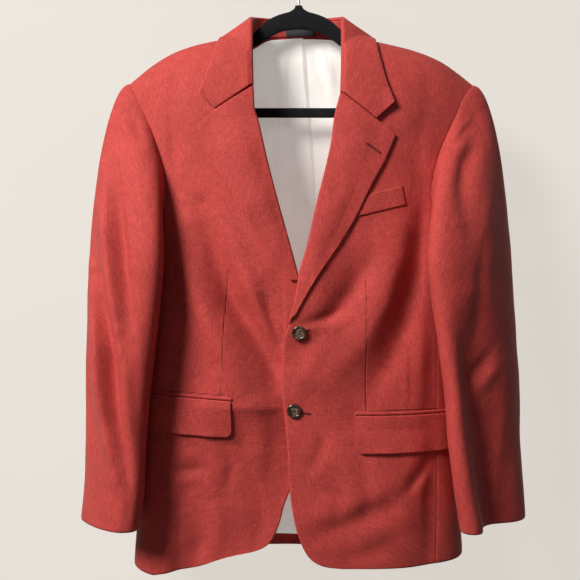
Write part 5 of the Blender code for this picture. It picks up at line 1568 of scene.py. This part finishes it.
def make_hanger(flock, wire):
    (right_out, right_in), (left_out, left_in) = hanger_half(RIGHT), hanger_half(LEFT)
    outer = np.array([(-x, z) for x, z in right_out] + left_out[-2:0:-1])
    inner = np.array([(-x, z) for x, z in right_in] + left_in[-2:0:-1])
    turns = np.linspace(0, 2 * np.pi, 20, endpoint=False)
    bulge = np.sign(np.cos(turns)) * np.abs(np.cos(turns)) ** 0.55
    deep = np.sign(np.sin(turns)) * np.abs(np.sin(turns)) ** 0.6 * HANGER_HALF_THICK
    middle, half = (outer + inner) / 2, (outer - inner) / 2
    flat = middle[:, None, :] + half[:, None, :] * bulge[None, :, None]
    points = joined(flat[..., 0], deep[None, :], flat[..., 1])
    count, around = points.shape[:2]
    index = np.arange(count * around).reshape(count, around)
    after, beside = np.roll(index, -1, axis=0), np.roll(index, -1, axis=1)
    quads = np.stack([index, after, np.roll(after, -1, axis=1), beside], axis=-1).reshape(-1, 4)
    mesh = bpy.data.meshes.new("hanger_body_flock")
    mesh.from_pydata((points.reshape(-1, 3) * MM).tolist(), [], quads.tolist())
    mesh.shade_smooth()
    build = bmesh.new()
    build.from_mesh(mesh)
    bmesh.ops.recalc_face_normals(build, faces=build.faces)
    build.to_mesh(mesh)
    build.free()
    piece = link("hanger_body_flock", mesh, flock)
    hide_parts("hanger_body")
    stem = [(0, 0, NUB_TOP_Z + REST_GAP), (0, 0, -70), (0, 0, -64), (0, 0, -58), (0.3, 0, -54), (1.2, 0, -51),
            (2.8, 0, -47.6), (5, 0, -44.5)]
    reach = HOOK_INNER_RADIUS + WIRE_RADIUS
    turns = np.radians(np.linspace(-50, 216, 70))
    bow = [(reach * math.cos(a), 0, -HOOK_INNER_RADIUS + reach * math.sin(a)) for a in turns]
    line = [tuple(value * MM for value in place) for place in stem + bow]
    hook = threads("hanger_hook_wire", [line], WIRE_RADIUS, wire, resolution=5)
    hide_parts("hanger_hook")


# ---------------------------------------------------------------- camera, light and backdrop

def plane(name, corners, material):
    mesh = bpy.data.meshes.new(name)
    mesh.from_pydata(corners, [], [(0, 1, 2, 3)])
    mesh.materials.append(material)
    piece = bpy.data.objects.new(name, mesh)
    bpy.context.scene.collection.objects.link(piece)
    return piece


def lamp(name, place, target, size, power, colour):
    light = bpy.data.lights.new(name, "AREA")
    light.shape = "DISK"
    light.size = size
    light.energy = power
    light.color = colour
    holder = bpy.data.objects.new(name, light)
    bpy.context.scene.collection.objects.link(holder)
    holder.location = place
    holder.rotation_euler = (Vector(target) - Vector(place)).to_track_quat("-Z", "Y").to_euler()


def set_the_scene():
    far = BACKDROP_REACH
    wall = plane("backdrop_wall", [(-far, WALL_Y, -far), (far, WALL_Y, -far), (far, WALL_Y, WALL_HIGH),
                                   (-far, WALL_Y, WALL_HIGH)], backdrop_paint(WALL_COLOUR, WALL_GLOW, True))
    wall.visible_shadow = False
    wall.visible_diffuse = False
    plane("backdrop_floor", [(-far, -far, FLOOR_Z), (far, -far, FLOOR_Z), (far, far, FLOOR_Z),
                             (-far, far, FLOOR_Z)], backdrop_paint(WALL_COLOUR, FLOOR_GLOW, False))
    for row in LAMPS:
        lamp(*row)
    world = bpy.data.worlds.new("studio")
    world.use_nodes = True
    sky = world.node_tree.nodes["Background"]
    sky.inputs["Color"].default_value = SKY_COLOUR
    sky.inputs["Strength"].default_value = WORLD_LIGHT
    bpy.context.scene.world = world
    bpy.context.scene.view_settings.view_transform = "Standard"
    lens = bpy.data.cameras.new("camera")
    lens.lens = LENS
    lens.sensor_width = SENSOR
    lens.clip_start = 0.05
    lens.clip_end = 50.0
    camera = bpy.data.objects.new("camera", lens)
    camera.location = CAMERA_PLACE
    camera.rotation_euler = (math.radians(90), 0, 0)
    bpy.context.scene.collection.objects.link(camera)
    bpy.context.scene.camera = camera


def main():
    cloth = woven_cloth()
    make_body(cloth)
    lapels = make_lapels(cloth)
    make_collar(cloth)
    make_sleeves(cloth)
    skins = {side: Skin(side, -760, -560, 290) for side in SIDES}
    make_pockets(cloth, skins)
    make_welt(cloth)
    make_lining(satin_lining(), label_cloth())
    red_thread = sewing_thread("red_thread", (0.2, 0.02, 0.018))
    horn = polished_horn("front_horn", (0.012, 0.006, 0.004), (0.055, 0.03, 0.018), (0.3, 0.2, 0.12))
    dark_horn = polished_horn("cuff_horn", (0.006, 0.0045, 0.004), (0.025, 0.016, 0.011), (0.12, 0.08, 0.05))
    make_buttons(horn, dark_horn, sewing_thread("brown_thread", (0.09, 0.03, 0.022)))
    buttonhole("lapel_buttonhole_thread", lapels[LEFT], (91, -287.5), (111, -300.5), 1.5, red_thread)
    front = front_points(LEFT, *grid(even(60, 0, 0.3), even(240, 0.4, 0.75)))
    buttonhole("upper_buttonhole_thread", front, (-5, -546), (14, -540), 1.4, red_thread)
    buttonhole("lower_buttonhole_thread", front, (-6, -651), (15, -653.5), 1.4, red_thread)
    make_hanger(flocked(), plated_wire())
    set_the_scene()
    bpy.context.view_layer.update()


main()
